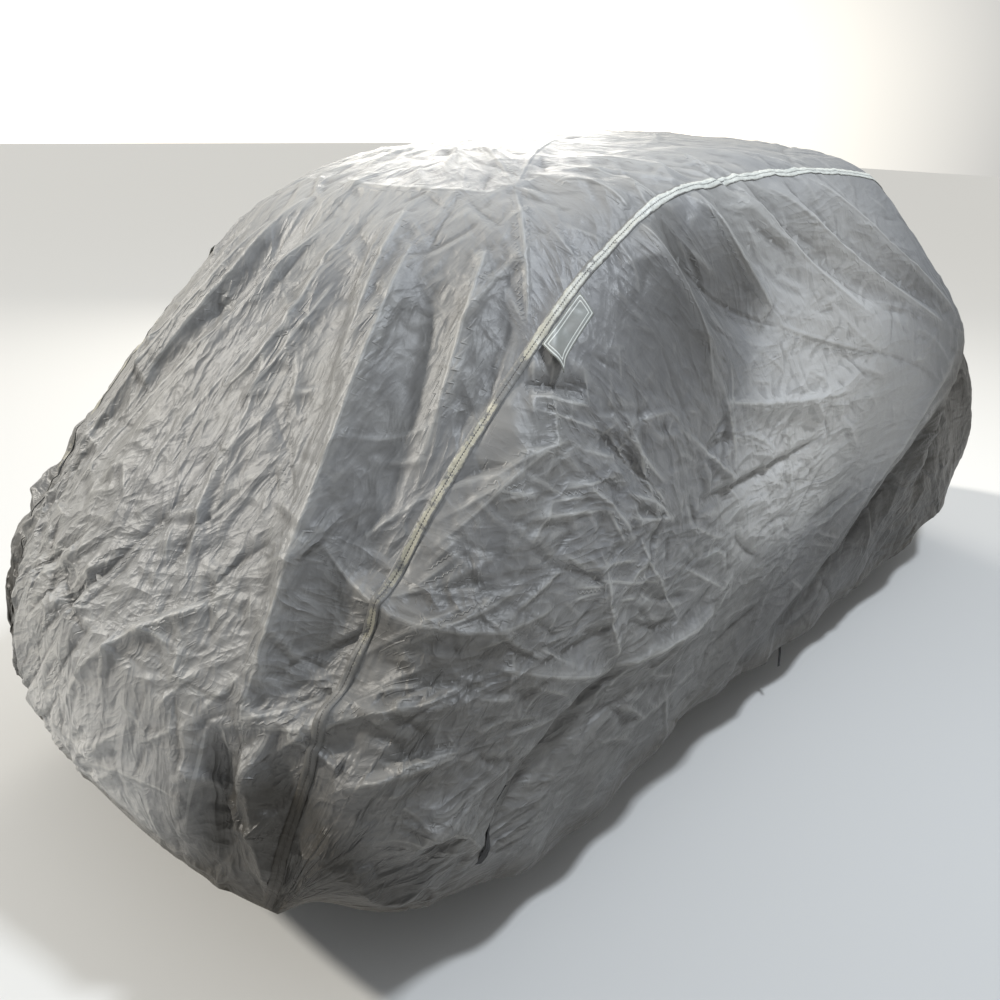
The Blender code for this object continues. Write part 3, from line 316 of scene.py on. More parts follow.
# Ways of the small creases where the folds alone don't give them: three points of a line.
GUIDES = [
    ((-0.62, 0.28, 0.32), (-0.59, 0.12, 0.48), (-0.52, -0.04, 0.66)),
    ((-0.63, 0.12, 0.3), (-0.6, 0.0, 0.44), (-0.53, -0.15, 0.62)),
    ((-0.61, -0.02, 0.28), (-0.59, -0.14, 0.42), (-0.54, -0.25, 0.56)),
    ((-0.47, -0.6, 0.33), (-0.25, -0.66, 0.36), (0.05, -0.68, 0.43)),
    ((-0.43, -0.56, 0.56), (-0.2, -0.66, 0.6), (0.05, -0.68, 0.62)),
    ((0.9, -0.68, 0.3), (1.25, -0.68, 0.4), (1.7, -0.68, 0.56)),
]
GUIDE_SHARE = 4.0
RUN_REACH = 0.14         # how far from a fold or crease the small creases still run its way
# Each size of small crease: how many, half-length, half-width, lift, how far it strays from the way of the
# nearby folds, in radians, and how sharply its crest is drawn in the material.
CRUMPLES = [
    (100, 0.23, 0.018, 0.0058, 0.1, 0.85),
    (380, 0.11, 0.015, 0.0058, 0.3, 0.8),
    (1700, 0.06, 0.012, 0.0046, 0.65, 0.7),
    (6500, 0.032, 0.0085, 0.0024, 1.1, 0.0),
]
CREST_REACH = 0.008      # a crest rules as far as this to each side, and fades out over as much again
NO_CREST = 0.05          # distance that stands for none
CRUMPLE_CREST = 0.0045   # rounding of their crests
TIGHT_CELL = 0.005       # where the grid's cells are smaller, at the tips of the sides, the creases are lower
CRUMPLE_DOWN = 0.4       # part of the small creases that sink in, and the others stand out
CRUMPLE_SPREAD = (0.35, 0.25, 0.35, 1.0)     # spread of a crease's length, width, lean and bend
CRUMPLE_FADE = 1.5       # powers of a crease's fade to its ends and of its hollow flanks
CRUMPLE_FLANK = 3


def smooth(knots, values, at):
    """Cubic through the values that keeps their rises and falls, by the harmonic mean of the slopes."""
    step = np.diff(knots)
    slope = np.diff(values) / step
    tangent = np.concatenate([slope[:1], np.zeros(len(slope) - 1), slope[-1:]])
    same = slope[:-1] * slope[1:] > 0
    before, after = 2 * step[1:] + step[:-1], step[1:] + 2 * step[:-1]
    low = np.where(same, slope[:-1], 1.0)
    high = np.where(same, slope[1:], 1.0)
    tangent[1:-1] = np.where(same, (before + after) / (before / low + after / high), 0.0)
    span = np.clip(np.searchsorted(knots, at, side="right") - 1, 0, len(step) - 1)
    u = (at - knots[span]) / step[span]
    return ((1 + 2 * u) * (1 - u) ** 2 * values[span] + u * (1 - u) ** 2 * step[span] * tangent[span]
            + u * u * (3 - 2 * u) * values[span + 1] + u * u * (u - 1) * step[span] * tangent[span + 1])


def sections_at(rows):
    """Each column of SECTIONS, read at the given rows, as an upright array."""
    table = np.array(SECTIONS, float)
    knots = np.cumsum(table[:, 0])
    return {name: smooth(knots, table[:, i], rows)[:, None]
            for i, name in enumerate(SECTION_COLUMNS) if name != "rows"}


def tent_lift(x, z):
    """Push of the tent point: a cone with its own reach each way, its flanks slightly hollow."""
    tent = dict(zip(TENT_COLUMNS, TENT))
    along = (x - tent["x"]) / np.where(x < tent["x"], tent["reach_back"], tent["reach_front"])
    up = (z - tent["z"]) / np.where(z > tent["z"], tent["reach_up"], tent["reach_down"])
    return tent["lift"] * np.clip(1 - np.hypot(along, up), 0, 1) ** TENT_POWER


def side_points(section, down, side):
    """Side panel: straight from seam to hem, plus a sine bulge, plus the tent. down is 0 at the seam."""
    bulge = section["out"] * np.sin(math.pi * down ** SHOULDER)
    turn = np.radians(section["turn"])
    x = section["seam_x"] + (section["hem_x"] - section["seam_x"]) * down - bulge * np.sin(turn)
    y = section["seam_y"] + (section["hem_y"] - section["seam_y"]) * down + bulge * np.cos(turn)
    z = section["seam_z"] + (section["hem_z"] - section["seam_z"]) * down
    y = y + tent_lift(x, z) * np.clip(down / TENT_START, 0, 1)
    return np.stack([x, side * y, z], -1)


def top_points(section, across):
    """Top panel: from the seam's place to the middle's by 1 - |across| to the power CROWN."""
    rise = 1 - np.abs(across) ** CROWN
    x = section["seam_x"] + (section["mid_x"] - section["seam_x"]) * rise
    z = section["seam_z"] + (section["mid_z"] - section["seam_z"]) * rise
    return np.stack([x, section["seam_y"] * across, z], -1)


def dense_sections(rows):
    """Whole sections, left hem to right hem, as close points, rounded over the seams by averaging."""
    section = sections_at(rows)
    down = np.linspace(0, 1, DENSE + 1)[None, :]
    across = np.linspace(1, -1, DENSE + 1)[None, :]
    line = np.concatenate([side_points(section, down[:, ::-1], 1), top_points(section, across)[:, 1:-1],
                           side_points(section, down, -1)], axis=1)
    leftward = np.clip(line[..., 1] / LEFT_REACH, 0, 1)
    line[..., 1] *= 1 - LEFT_NARROW * leftward
    line[..., 2] *= 1 - LEFT_SAG * leftward
    for _ in range(ROUNDING):
        line[:, 1:-1] = (line[:, :-2] + 2 * line[:, 1:-1] + line[:, 2:]) / 4
    return line


def run_lengths(grid, axis):
    """Metres along each line of a grid, from its first point."""
    return np.insert(np.linalg.norm(np.diff(grid, axis=axis), axis=2).cumsum(axis), 0, 0.0, axis=axis)


def measured_out(line, cells, both_ends):
    """Points along each line: the tape's half, then evenly on, to its far end or to a second tape's half."""
    length = run_lengths(line, 1)
    whole = length[:, -1:]
    edge = np.minimum(TAPE_HALF, TAPE_SHARE * whole)
    tape = edge * np.linspace(0, 1, TAPE_CELLS + 1)[None, :-1]
    far = whole - edge if both_ends else whole
    even = edge + (far - edge) * np.linspace(0, 1, cells + 1)[None, :]
    place = np.concatenate([tape, even] + ([whole - tape[:, ::-1]] if both_ends else []), axis=1)
    return np.stack([np.stack([np.interp(place[i], length[i], line[i, :, k]) for k in range(3)], -1)
                     for i in range(len(line))])


def grid_normals(grid):
    """Outward unit normals of a grid of points, from the steps to the neighbours both ways."""
    normal = np.cross(np.gradient(grid, axis=1), np.gradient(grid, axis=0))
    normal[0] = normal[1]
    normal[-1] = normal[-2]
    return normal / np.maximum(np.linalg.norm(normal, axis=2, keepdims=True), 1e-9)


def filled(rows, usual):
    """Whole rows of a table of folds, with the columns that they leave out."""
    return [(*row, *usual[len(row) - len(FOLD_COLUMNS):]) if len(row) < len(FOLD_COLUMNS) else row
            for row in rows]


def mirrored(fold):
    """The same fold on the left side."""
    *points, lift, width_start, width_end, lean = fold
    return (*[(x + LEFT_SHIFT, -y, z) for x, y, z in points], lift * LEFT_LIFT, width_start, width_end, -lean)


def to_crest(points, normals, fold):
    """The way over the form from each point to a fold's crest, how far along the crest it is, and its run."""
    start, middle, end = (np.array(point) for point in fold[:3])
    t = np.linspace(0, 1, PATH_PIECES + 1)[:, None]
    crest = (1 - t) * (1 - 2 * t) * start + 4 * t * (1 - t) * middle + t * (2 * t - 1) * end
    nearest = np.full(len(points), np.inf)
    way, place, run = np.zeros_like(points), np.zeros(len(points)), np.zeros_like(points)
    for i in range(PATH_PIECES):
        step = crest[i + 1] - crest[i]
        u = np.clip((points - crest[i]) @ step / (step @ step), 0, 1)
        offset = crest[i] + u[:, None] * step - points
        distance = np.linalg.norm(offset, axis=1)
        near = distance < nearest
        nearest = np.where(near, distance, nearest)
        place = np.where(near, (i + u) / PATH_PIECES, place)
        way[near], run[near] = offset[near], step
    return way - (way * normals).sum(1, keepdims=True) * normals, place, run


class Cloth:
    """The outer face of the cloth as a grid of points, each with its lift and the sharp crest that rules it.

    distance is the way to that crest across its run, with a sign for the side, so that it runs evenly
    through 0 at the crest. sharp is the crest's strength, below 0 for one that sinks in.
    """

    def __init__(self, form, middle):
        self.form = form
        self.middle = middle
        self.normals = grid_normals(form)
        self.lift = np.zeros(form.shape[:2])
        self.distance = np.full(form.shape[:2], NO_CREST)
        self.sharp = np.zeros(form.shape[:2])
        self.weight = np.zeros(form.shape[:2])

    def add(self, where, lift, distance, sharp):
        self.lift[where] += lift
        sharp = sharp * np.clip(2 - np.abs(distance) / CREST_REACH, 0, 1)
        weight = np.abs(sharp) * np.exp(-np.abs(distance) / CREST_REACH)
        stronger = weight > self.weight[where]
        for own, new in ((self.weight, weight), (self.distance, distance), (self.sharp, sharp)):
            own[where] = np.where(stronger, new, own[where])

    def raise_up(self):
        """The lifts become part of the form."""
        self.form = self.form + self.normals * self.lift[..., None]
        self.normals = grid_normals(self.form)
        self.lift = np.zeros(self.form.shape[:2])


def add_fold(cloth, fold, rounding, share, sharp):
    """One fold: a pointed crest with hollow flanks, its width sliding from end to end.

    Only the points within its reach are worked on.
    """
    row = dict(zip(FOLD_COLUMNS, fold))
    corners = np.array(fold[:3])
    widest = 2 * max(row["width_start"], row["width_end"]) * (1 + abs(row["lean"]))
    reach = widest + 2 * abs(row["lift"]) + FOLD_MARGIN
    near = ((cloth.form > corners.min(0) - reach) & (cloth.form < corners.max(0) + reach)).all(2)
    way, place, run = to_crest(cloth.form[near], cloth.normals[near], fold)
    flank = np.sign((np.cross(run, cloth.normals[near]) * way).sum(1))
    width = (row["width_start"] + (row["width_end"] - row["width_start"]) * place) * (1 - row["lean"] * flank)
    distance = np.linalg.norm(way, axis=1)
    rounding *= TROUGH_SOFT if row["lift"] < 0 else 1.0
    away = np.sqrt(distance ** 2 + rounding ** 2) - rounding
    fade = np.clip(place / FOLD_END, 0, 1) * np.clip((1 - place) / FOLD_END, 0, 1)
    fade = fade * (2 - fade)
    cloth.add(near, share * row["lift"] * np.clip(1 - away / (2 * width), 0, 1) ** FLANK_POWER * fade,
              distance * flank, math.copysign(sharp, row["lift"]) * np.sqrt(fade))


def hanging_waves(points):
    """Slack: the sum of long low waves. Ruffles: a wave along x with drifting pace that grows to the hem."""
    lift = sum(SLACK / len(SLACK_WAVES) * np.sin(points @ np.array(rate) + rate[0]) for rate in SLACK_WAVES)
    x, z = points[:, 0], points[:, 2]
    wave = np.sin(RUFFLE_RATE * x + RUFFLE_DRIFT * np.sin(RUFFLE_DRIFT_RATE * x))
    return lift + RUFFLE * wave * np.clip(1 - (z - RUFFLE_HEIGHT) / RUFFLE_REACH, 0, 1)


def by_region(points, regions, elsewhere):
    """A value at each point: a mean of the one for elsewhere and of each region's, by a bell round it."""
    weight = np.full(points.shape[:-1], ELSEWHERE_SHARE)
    total = weight * elsewhere
    for x, y, z, reach, value in regions:
        near = np.exp(-((points - (x, y, z)) ** 2).sum(-1) / (2 * (reach / 2) ** 2))
        weight, total = weight + near, total + near * value
    return total / weight


def crease_ways(points, rows):
    """How the nearby folds and creases run: for each point a sum of outer products of their unit ways.

    Each half of each fold adds its own, by a bell round its middle. The main axis of the sum is the way.
    """
    total = np.zeros((len(points), 3, 3))
    for row in rows:
        start, middle, end = (np.array(point) for point in row[:3])
        for a, b in ((start, middle), (middle, end)):
            reach = RUN_REACH + np.linalg.norm(b - a) / 4
            near = np.exp(-((points - (a + b) / 2) ** 2).sum(1) / (2 * reach ** 2))
            share = GUIDE_SHARE if row in GUIDES else 1.0
            total += share * near[:, None, None] * np.outer(b - a, b - a) / ((b - a) @ (b - a))
    return total.reshape(len(points), 9)


def add_crumples(cloth, rows):
    """Short random creases, each with a pointed crest and hollow flanks, one steeper than the other.

    A crease is drawn at a random cell and strays by a random angle from the way of the folds near it. It
    bends a little and fades to its ends, and it lifts only a window of cells round it.
    """
    rng = np.random.default_rng(SEED)
    grid, normals = cloth.form, cloth.normals
    coarse = grid[::COARSE_STRIDE, ::COARSE_STRIDE]
    row, column = np.meshgrid(*[np.arange(n) / COARSE_STRIDE for n in grid.shape[:2]], indexing="ij")
    runs = at_grid(crease_ways(coarse.reshape(-1, 3), rows).reshape(*coarse.shape[:2], 9), row, column)
    cloth.ways = ways = np.linalg.eigh(runs.reshape(*grid.shape[:2], 3, 3))[1][..., 2]
    cloth.busy = busy = by_region(grid, BUSY, CALM)
    row_size = np.linalg.norm(np.diff(grid, axis=0), axis=2).mean(1)
    column_size = np.linalg.norm(np.diff(grid, axis=1), axis=2).mean(0)
    chance = np.cumsum(row_size[:, None] * column_size[None, :])
    for count, long, half_width, height, stray, sharp in CRUMPLES:
        for cell in np.searchsorted(chance, rng.random(count) * chance[-1]):
            i, j = divmod(int(cell), len(column_size))
            centre, normal, way = grid[i, j], normals[i, j], ways[i, j]
            turn, size, thin, lean, bend = rng.normal(0, (stray, *CRUMPLE_SPREAD))
            half_long, width = long * math.exp(size), half_width * math.exp(thin)
            strength = busy[i, j] * (-1 if rng.random() < CRUMPLE_DOWN else 1)
            beside = (grid[i + 1, j], grid[i, j + 1])
            tight = min(np.linalg.norm(point - centre) for point in beside)
            strength *= min(1, (tight / TIGHT_CELL) ** 2)
            reach = [int(half_long / size_there) + 2 for size_there in (row_size[i], column_size[j])]
            window = tuple(slice(max(at - far, 0), at + far + 1) for at, far in zip((i, j), reach))
            side = np.cross(normal, way)
            side /= max(np.linalg.norm(side), 1e-9)
            run = np.cross(side, normal) * math.cos(turn) + side * math.sin(turn)
            offset = grid[window] - centre
            along = offset @ run
            away = offset @ np.cross(normal, run) + bend * along ** 2
            flank = ((np.sqrt(away ** 2 + CRUMPLE_CREST ** 2) - CRUMPLE_CREST)
                     / (width * (1 + math.tanh(lean) * np.sign(away))))
            fade = np.clip(1 - (along / half_long) ** 2, 0, 1) ** CRUMPLE_FADE
            hollow = np.clip(1 - flank / 2, 0, 1) ** CRUMPLE_FLANK
            lift = strength * height * math.exp(size) * fade * hollow
            cloth.add(window, lift, away, sharp * strength * fade)


def cover():
    """All the cloth as one grid, left hem to right hem, and the columns of its two seams."""
    rows, first = [], 0
    for last, steps in ROW_STEPS:
        rows.append(np.arange(first * steps, last * steps) / steps)
        first = last
    line = dense_sections(np.concatenate([*rows, [float(first)]]))
    left = measured_out(line[:, DENSE::-1], LEFT_COLUMNS, False)[:, ::-1]
    top = measured_out(line[:, DENSE:2 * DENSE + 1], TOP_COLUMNS, True)
    right = measured_out(line[:, 2 * DENSE:], RIGHT_COLUMNS, False)
    seam_left = left.shape[1] - 1
    seam_right = seam_left + top.shape[1] - 1
    cloth = Cloth(np.concatenate([left, top[:, 1:-1], right], axis=1), (seam_left + seam_right) // 2)
    folds = filled(REAR_FOLDS + RIGHT_FOLDS + ROOF_FOLDS + FRONT_FOLDS, FOLD_USUAL)
    folds += [mirrored(fold) for fold in filled(RIGHT_FOLDS, FOLD_USUAL)]
    creases = filled(CREASES, CREASE_USUAL)
    cloth.lift += hanging_waves(cloth.form.reshape(-1, 3)).reshape(cloth.lift.shape)
    for fold in folds:
        add_fold(cloth, fold, FOLD_CREST, FOLD_SHARE, 0.0)
    for crease in creases:
        add_fold(cloth, crease, CREASE_CREST, 1.0, 1.0)
    cloth.raise_up()
    add_crumples(cloth, folds + creases + GUIDES)
    cloth.raise_up()
    return cloth, seam_left, seam_right


def measures(grid, middle):
    """Metres along each column from the middle row, and along each row from the middle column."""
    along, across = run_lengths(grid, 0), run_lengths(grid, 1)
    return along - along[len(grid) // 2], across - across[:, middle:middle + 1]


def side_measures(grid):
    """Metres along each column from the middle row, as seen from above, and the height."""
    along = run_lengths(grid[..., :2], 0)
    return along - along[len(grid) // 2], grid[..., 2]


def turn_shares(grid, ways, uv):
    """Share of each of the TURNS in the way that the creases run on the laid out cloth.

    The way's steps along the grid's rows and columns are turned into steps of the two measures, and a turn's
    share is the fourth power of the cosine between them.
    """
    flat = np.stack(uv, -1)
    down, over = (np.gradient(grid, axis=i) for i in (0, 1))
    rows, columns = ((ways * step).sum(2) / np.maximum((step ** 2).sum(2), 1e-9) for step in (down, over))
    run = rows[..., None] * np.gradient(flat, axis=0) + columns[..., None] * np.gradient(flat, axis=1)
    angle = np.arctan2(run[..., 1], run[..., 0])
    shares = [np.cos(angle - math.radians(turn)) ** 4 for turn in TURNS]
    return [share / sum(shares) for share in shares]


def ridges(grid):
    """How far each point stands out from the mean of its neighbours, along the normal, in metres."""
    around = np.pad(grid, ((2, 2), (2, 2), (0, 0)), mode="edge")
    mean = (around[4:, 2:-2] + around[:-4, 2:-2] + around[2:-2, 4:] + around[2:-2, :-4]) / 4
    stand = ((grid - mean) * grid_normals(grid)).sum(2)
    stand[:2] = stand[-2:] = 0
    return stand


def own_back(grid, thick, stride):
    """Inner face of a piece of cloth, on every few points of its outer face.

    It lies as far in as the thickness and, inside its border, as the outer face dips between those points.
    """
    inner = grid[::stride, ::stride]
    down = np.linspace(0, inner.shape[0] - 1, grid.shape[0])
    over = np.linspace(0, inner.shape[1] - 1, grid.shape[1])
    normals = grid_normals(inner)
    row, column = np.meshgrid(down, over, indexing="ij")
    dip = ((at_grid(inner, row, column) - grid) * at_grid(normals, row, column)).sum(2)
    depth = np.zeros(inner.shape[:2])
    padded = np.pad(dip, stride, mode="edge")
    for i in range(2 * stride + 1):
        for j in range(2 * stride + 1):
            depth = np.maximum(depth, padded[i:i + grid.shape[0]:stride, j:j + grid.shape[1]:stride])
    depth[[0, -1]] = depth[:, [0, -1]] = 0
    return inner - normals * (thick + depth)[..., None]


def border(rows, columns):
    """Corner numbers round a grid, starting and ending at its first corner."""
    corner = np.arange(rows * columns).reshape(rows, columns)
    return np.concatenate([corner[0, :], corner[1:, -1], corner[-1, -2::-1], corner[-2::-1, 0]])


def grid_faces(rows, columns):
    """Corner numbers of the faces of a grid, seen from outside."""
    corner = np.arange(rows * columns).reshape(rows, columns)
    return np.stack([corner[:-1, :-1], corner[:-1, 1:], corner[1:, 1:], corner[1:, :-1]], -1).reshape(-1, 4)


def grid_piece(name, grid, uv, values, material, thick, stride=1):
    """A closed piece of the cover from its outer face's points, with its UV map and values at each point."""
    inner = own_back(grid, thick, stride)
    front, back = grid.shape[:2], inner.shape[:2]
    start = front[0] * front[1]
    faces = grid_faces(*front).tolist() + (grid_faces(*back)[:, ::-1] + start).tolist()
    outer, inner_border = border(*front), border(*back) + start
    for k in range(len(inner_border) - 1):
        run = outer[k * stride:(k + 1) * stride + 1]
        faces.append([*run[::-1].tolist(), int(inner_border[k]), int(inner_border[k + 1])])
    mesh = bpy.data.meshes.new(name)
    mesh.from_pydata((np.concatenate([grid.reshape(-1, 3), inner.reshape(-1, 3)]) - HANG).tolist(), [], faces)
    loops = np.empty(len(mesh.loops), np.int32)
    mesh.loops.foreach_get("vertex_index", loops)

    def both(value):
        sides = (value, value[::stride, ::stride])
        return np.concatenate([side.reshape(-1, side[0, 0].size) for side in sides])

    mesh.uv_layers.new(name="cloth").data.foreach_set("uv", both(np.stack(uv, -1))[loops].ravel())
    for key, value in values.items():
        data = mesh.attributes.new(key, "FLOAT", "POINT").data
        data.foreach_set("value", both(value).astype(np.float32).ravel())
    mesh.shade_smooth()
    mesh.materials.append(material)
    piece = bpy.data.objects.new(name, mesh)
    bpy.context.scene.collection.objects.link(piece)
    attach(piece, "root")
    return piece


# ---------------------------------------------------------------- materials
class Socket:
    """A number or colour on its way through nodes; sums and products of numbers add Math nodes."""

    def __init__(self, nodes, link):
        self.nodes = nodes
        self.link = link

    def maths(self, operation, *others):
        return self.nodes.node("ShaderNodeMath", {"operation": operation}, dict(enumerate([self, *others])))

    def __add__(self, other):
        return self.maths("ADD", other)

    def __sub__(self, other):
        return self.maths("SUBTRACT", other)

    def __mul__(self, other):
        return self.maths("MULTIPLY", other)

    def __rsub__(self, other):
        return (self * -1) + other

    __radd__, __rmul__ = __add__, __mul__

    def clamped(self):
        return self.maths("MAXIMUM", 0.0).maths("MINIMUM", 1.0)

    def band(self, *edges):
        """1 between the second edge and the third, 0 below the first and above the last."""
        return self.step(*edges[:2]) * self.step(*edges[:1:-1])

    def step(self, low, high):
        """0 below low and 1 above high, with a smooth rise between them; high may lie below low."""
        inputs = {"Value": self, "From Min": low, "From Max": high}
        return self.nodes.node("ShaderNodeMapRange", {"interpolation_type": "SMOOTHSTEP"}, inputs)


class Nodes:
    """A node tree that is built by Python expressions."""

    def __init__(self, tree):
        self.tree = tree

    def node(self, kind, settings=None, inputs=None, output=0):
        made = self.tree.nodes.new(kind)
        for key, value in (settings or {}).items():
            setattr(made, key, value)
        for key, value in (inputs or {}).items():
            self.put(made.inputs[key], value)
        return Socket(self, made.outputs[output])

    def put(self, socket, value):
        if isinstance(value, Socket):
            self.tree.links.new(value.link, socket)
        elif hasattr(socket.default_value, "__len__") and len(socket.default_value) == 4:
            socket.default_value = (*value, 1.0)
        else:
            socket.default_value = value

    def mix(self, factor, first, second):
        made = self.tree.nodes.new("ShaderNodeMix")
        made.data_type = "RGBA"
        for index, value in ((0, factor), (6, first), (7, second)):
            self.put(made.inputs[index], value)
        return Socket(self, made.outputs[2])


class Finish(Nodes):
    """A material with one shader."""

    def __init__(self, name, roughness):
        self.made = bpy.data.materials.new(name)
        self.made.use_nodes = True
        super().__init__(self.made.node_tree)
        self.shader = self.tree.nodes["Principled BSDF"]
        self.shader.inputs["Roughness"].default_value = roughness
        self.shader.inputs["Specular IOR Level"].default_value = GLOSS

    def set(self, name, value):
        self.put(self.shader.inputs[name], value)

    def place(self):
        return self.node("ShaderNodeTexCoord", output="Object")

    def value(self, name):
        return self.node("ShaderNodeAttribute", {"attribute_name": name}, output="Fac")

    def uv(self):
        return self.node("ShaderNodeUVMap", {"uv_map": "cloth"})

    def moved(self, vector, scale=(1, 1, 1), turn=(0, 0, 0)):
        return self.node("ShaderNodeMapping", None, {"Vector": vector, "Scale": scale, "Rotation": turn})

    def noise(self, vector, scale, detail=3.0, roughness=0.5, distortion=0.0, kind="FBM"):
        inputs = {"Vector": vector, "Scale": scale, "Detail": detail, "Roughness": roughness,
                  "Distortion": distortion}
        if kind == "RIDGED_MULTIFRACTAL":
            inputs.update({"Offset": 1.0, "Gain": 2.0})
        return self.node("ShaderNodeTexNoise", {"noise_type": kind}, inputs)

    def ridged(self, vector, rate):
        """Sharp branching crests."""
        return self.noise(vector, rate, 2.0, 0.5, 0.5, "RIDGED_MULTIFRACTAL")

    def wave(self, vector, rate, axis):
        return self.node("ShaderNodeTexWave", {"bands_direction": axis}, {"Vector": vector, "Scale": rate})

    def bump(self, height):
        """height is in metres."""
        inputs = {"Height": height, "Distance": 1.0, "Strength": BUMP_STRENGTH}
        self.set("Normal", self.node("ShaderNodeBump", None, inputs))


CLOTH_GREY = (0.182, 0.184, 0.188)
CLOTH_PAINTED_HIGHLIGHT = (0.46, 0.455, 0.435)    # painted highlight on crests and on crinkle crests
CLOTH_DUST = (0.215, 0.210, 0.195)
# painted shade in troughs and crinkle valleys
CREASE_PAINTED_SHADE = (0.075, 0.073, 0.070)
# painted shade, low down and in corners, on the cloth and the tape
PAINTED_SHADE_DARK = (0.030, 0.026, 0.020)
# painted light where light falls on the cloth
CLOTH_PAINTED_LIGHT = (0.80, 0.79, 0.77)
HEM_BROWN = (0.055, 0.045, 0.030)
TAPE_WHITE = (0.68, 0.70, 0.66)
TAPE_CREAM = (0.50, 0.47, 0.36)
TAPE_CLEAR = (0.19, 0.19, 0.185)     # where the tape has worn, the cloth shows through
STITCH_DARK = (0.08, 0.08, 0.08)
FLAP_GREY = (0.195, 0.205, 0.190)
FLAP_ROWS = (0.0020, 0.0078)         # way of the stitch rows from the flap's edge
WEBBING_BLACK = (0.022, 0.022, 0.024)
WEBBING_FADED = (0.07, 0.068, 0.065)
GLOSS = 0.4
BUMP_STRENGTH = 0.9

# Patterns: how many a metre, and the heights of bumps in metres.
CLOUDS = 2.2
DUST = 9.0
FINE = 90.0
THREADS = 300.0
CRINKLES = ((14.0, 0.38, 0.0095), (34.0, 0.42, 0.0025))      # rate, stretch along the fold, and height
CREST_WIDE = 0.0085      # the bump of a crest, or of a trough, reaches this far to each side
CREST_LINE = (0.0040, 0.0008)        # its painted highlight line, or painted shade line in a trough, fades out between these
CREST_HEIGHT = 0.0026
FINE_HEIGHT = 0.0002
THREAD_HEIGHT = 0.00004
HEM_STITCH = (0.0165, 0.0172, 0.0180, 0.0188)    # edges of the stitch line, by the way from the hem
HEM_STITCH_DEPTH = 0.0005
HEM_TURNED = (0.019, 0.016)          # the turned hem ends between these
HEM_HEIGHT = 0.0008
HEM_DIRT = 0.07          # dirt reaches this far up
PATCHES = 14.0
SCUFFS = 75.0
SCUFF_HEIGHT = 0.0006
TAPE_CREASES = 45.0
TAPE_CREASE_HEIGHT = 0.0009
TAPE_DASHES = 60.0
TAPE_STITCH = (0.16, 0.06)           # half-width of the stitch line, for 1 of the tape's half
TAPE_STITCH_DEPTH = 0.0009
FLAP_CLOUDS = 30.0
FLAP_CLOUD_HEIGHT = 0.0008
FLAP_STITCH = (0.0, 0.0008, 0.0024, 0.0032)      # edges of a stitch row, from its start
FLAP_STITCH_DEPTH = 0.0007
RIBS = 130.0
RIB_HEIGHT = 0.0003
CORDS = 160.0
CORD_HEIGHT = 0.0002
FADED = 40.0


def crinkled(f, rate, stretch):
    """Sharp crinkles along the folds: a stretched ridged pattern for each turn, by its share."""
    uv = f.uv()
    ways = [f.moved(uv, turn=(0, 0, -math.radians(turn))) for turn in TURNS]
    patterns = [f.ridged(f.moved(way, (stretch, 1, 1)), rate) for way in ways]
    return sum(pattern * f.value(share) for pattern, share in zip(patterns, SHARES))


def cloth_finish():
    """Coated cloth: grey with dust, dirt near the hem, painted light and shade, painted highlights on crests
    and painted shade in troughs and crinkle valleys, glossy in patches, crinkled, with a sewn hem.
    """
    f = Finish("coated_cloth", 0.45)
    place, uv = f.place(), f.uv()
    ridge, hem, tone, busy, sharp = (f.value(name) for name in ("ridge", "hem", "tone", "busy", "sharp"))
    cloudy = f.noise(place, CLOUDS, 4.0, 0.6)
    dust = f.noise(place, DUST, 6.0, 0.7)
    fine = f.noise(place, FINE, 3.0, 0.6, 0.4)
    weave = f.wave(uv, THREADS, "X") + f.wave(uv, THREADS, "Y")
    broad, narrow = (crinkled(f, rate, stretch) for rate, stretch, _ in CRINKLES)
    crinkles = (broad * CRINKLES[0][2] + narrow * CRINKLES[1][2]) * busy
    away = f.value("crest").maths("ABSOLUTE")
    fold = away.step(CREST_WIDE, 0.0) * sharp
    # A thin painted highlight along each standing crest, and a thin painted shade along each sunken one.
    line = away.step(*CREST_LINE) * sharp
    # Painted highlight on the crests, and painted shade in the troughs.
    crest = (ridge.step(0.3, 1.0) * 0.4 + line.step(0.1, 0.9)).clamped()
    trough = (ridge.step(-0.2, -1.0) * 0.6 + line.step(-0.05, -0.9)).clamped()
    stitch = hem.band(*HEM_STITCH)
    grey = f.mix(cloudy.step(0.35, 0.65) * 0.5, CLOTH_GREY, CLOTH_DUST)
    for factor, colour in (
            # painted light where light falls
            (tone - 1, CLOTH_PAINTED_LIGHT),
            # painted shade in troughs and in the valleys of the narrow crinkles
            (trough * 0.45 + narrow.step(0.7, 0.2) * busy * 0.12, CREASE_PAINTED_SHADE),
            # painted highlight on the narrow crinkles' crests
            (narrow.step(0.9, 1.5) * busy * 0.14, CLOTH_PAINTED_HIGHLIGHT),
            # painted highlight along the crests, varied by the dust pattern
            (crest * (dust.step(0.3, 0.7) * 0.5 + 0.5) * 0.6, CLOTH_PAINTED_HIGHLIGHT),
            # painted shade low down and in corners
            ((1 - tone).clamped() * 0.9, PAINTED_SHADE_DARK),
            (hem.step(HEM_DIRT, 0.0) * 0.6, HEM_BROWN),
            (stitch * 0.6, STITCH_DARK)):
        grey = f.mix(factor.clamped(), grey, colour)
    f.set("Base Color", grey)
    f.set("Roughness", cloudy * 0.18 + 0.31 + dust * 0.10)
    f.bump(fold * CREST_HEIGHT + crinkles + fine * FINE_HEIGHT + weave * THREAD_HEIGHT
           - stitch * HEM_STITCH_DEPTH + hem.step(*HEM_TURNED) * HEM_HEIGHT)
    return f.made


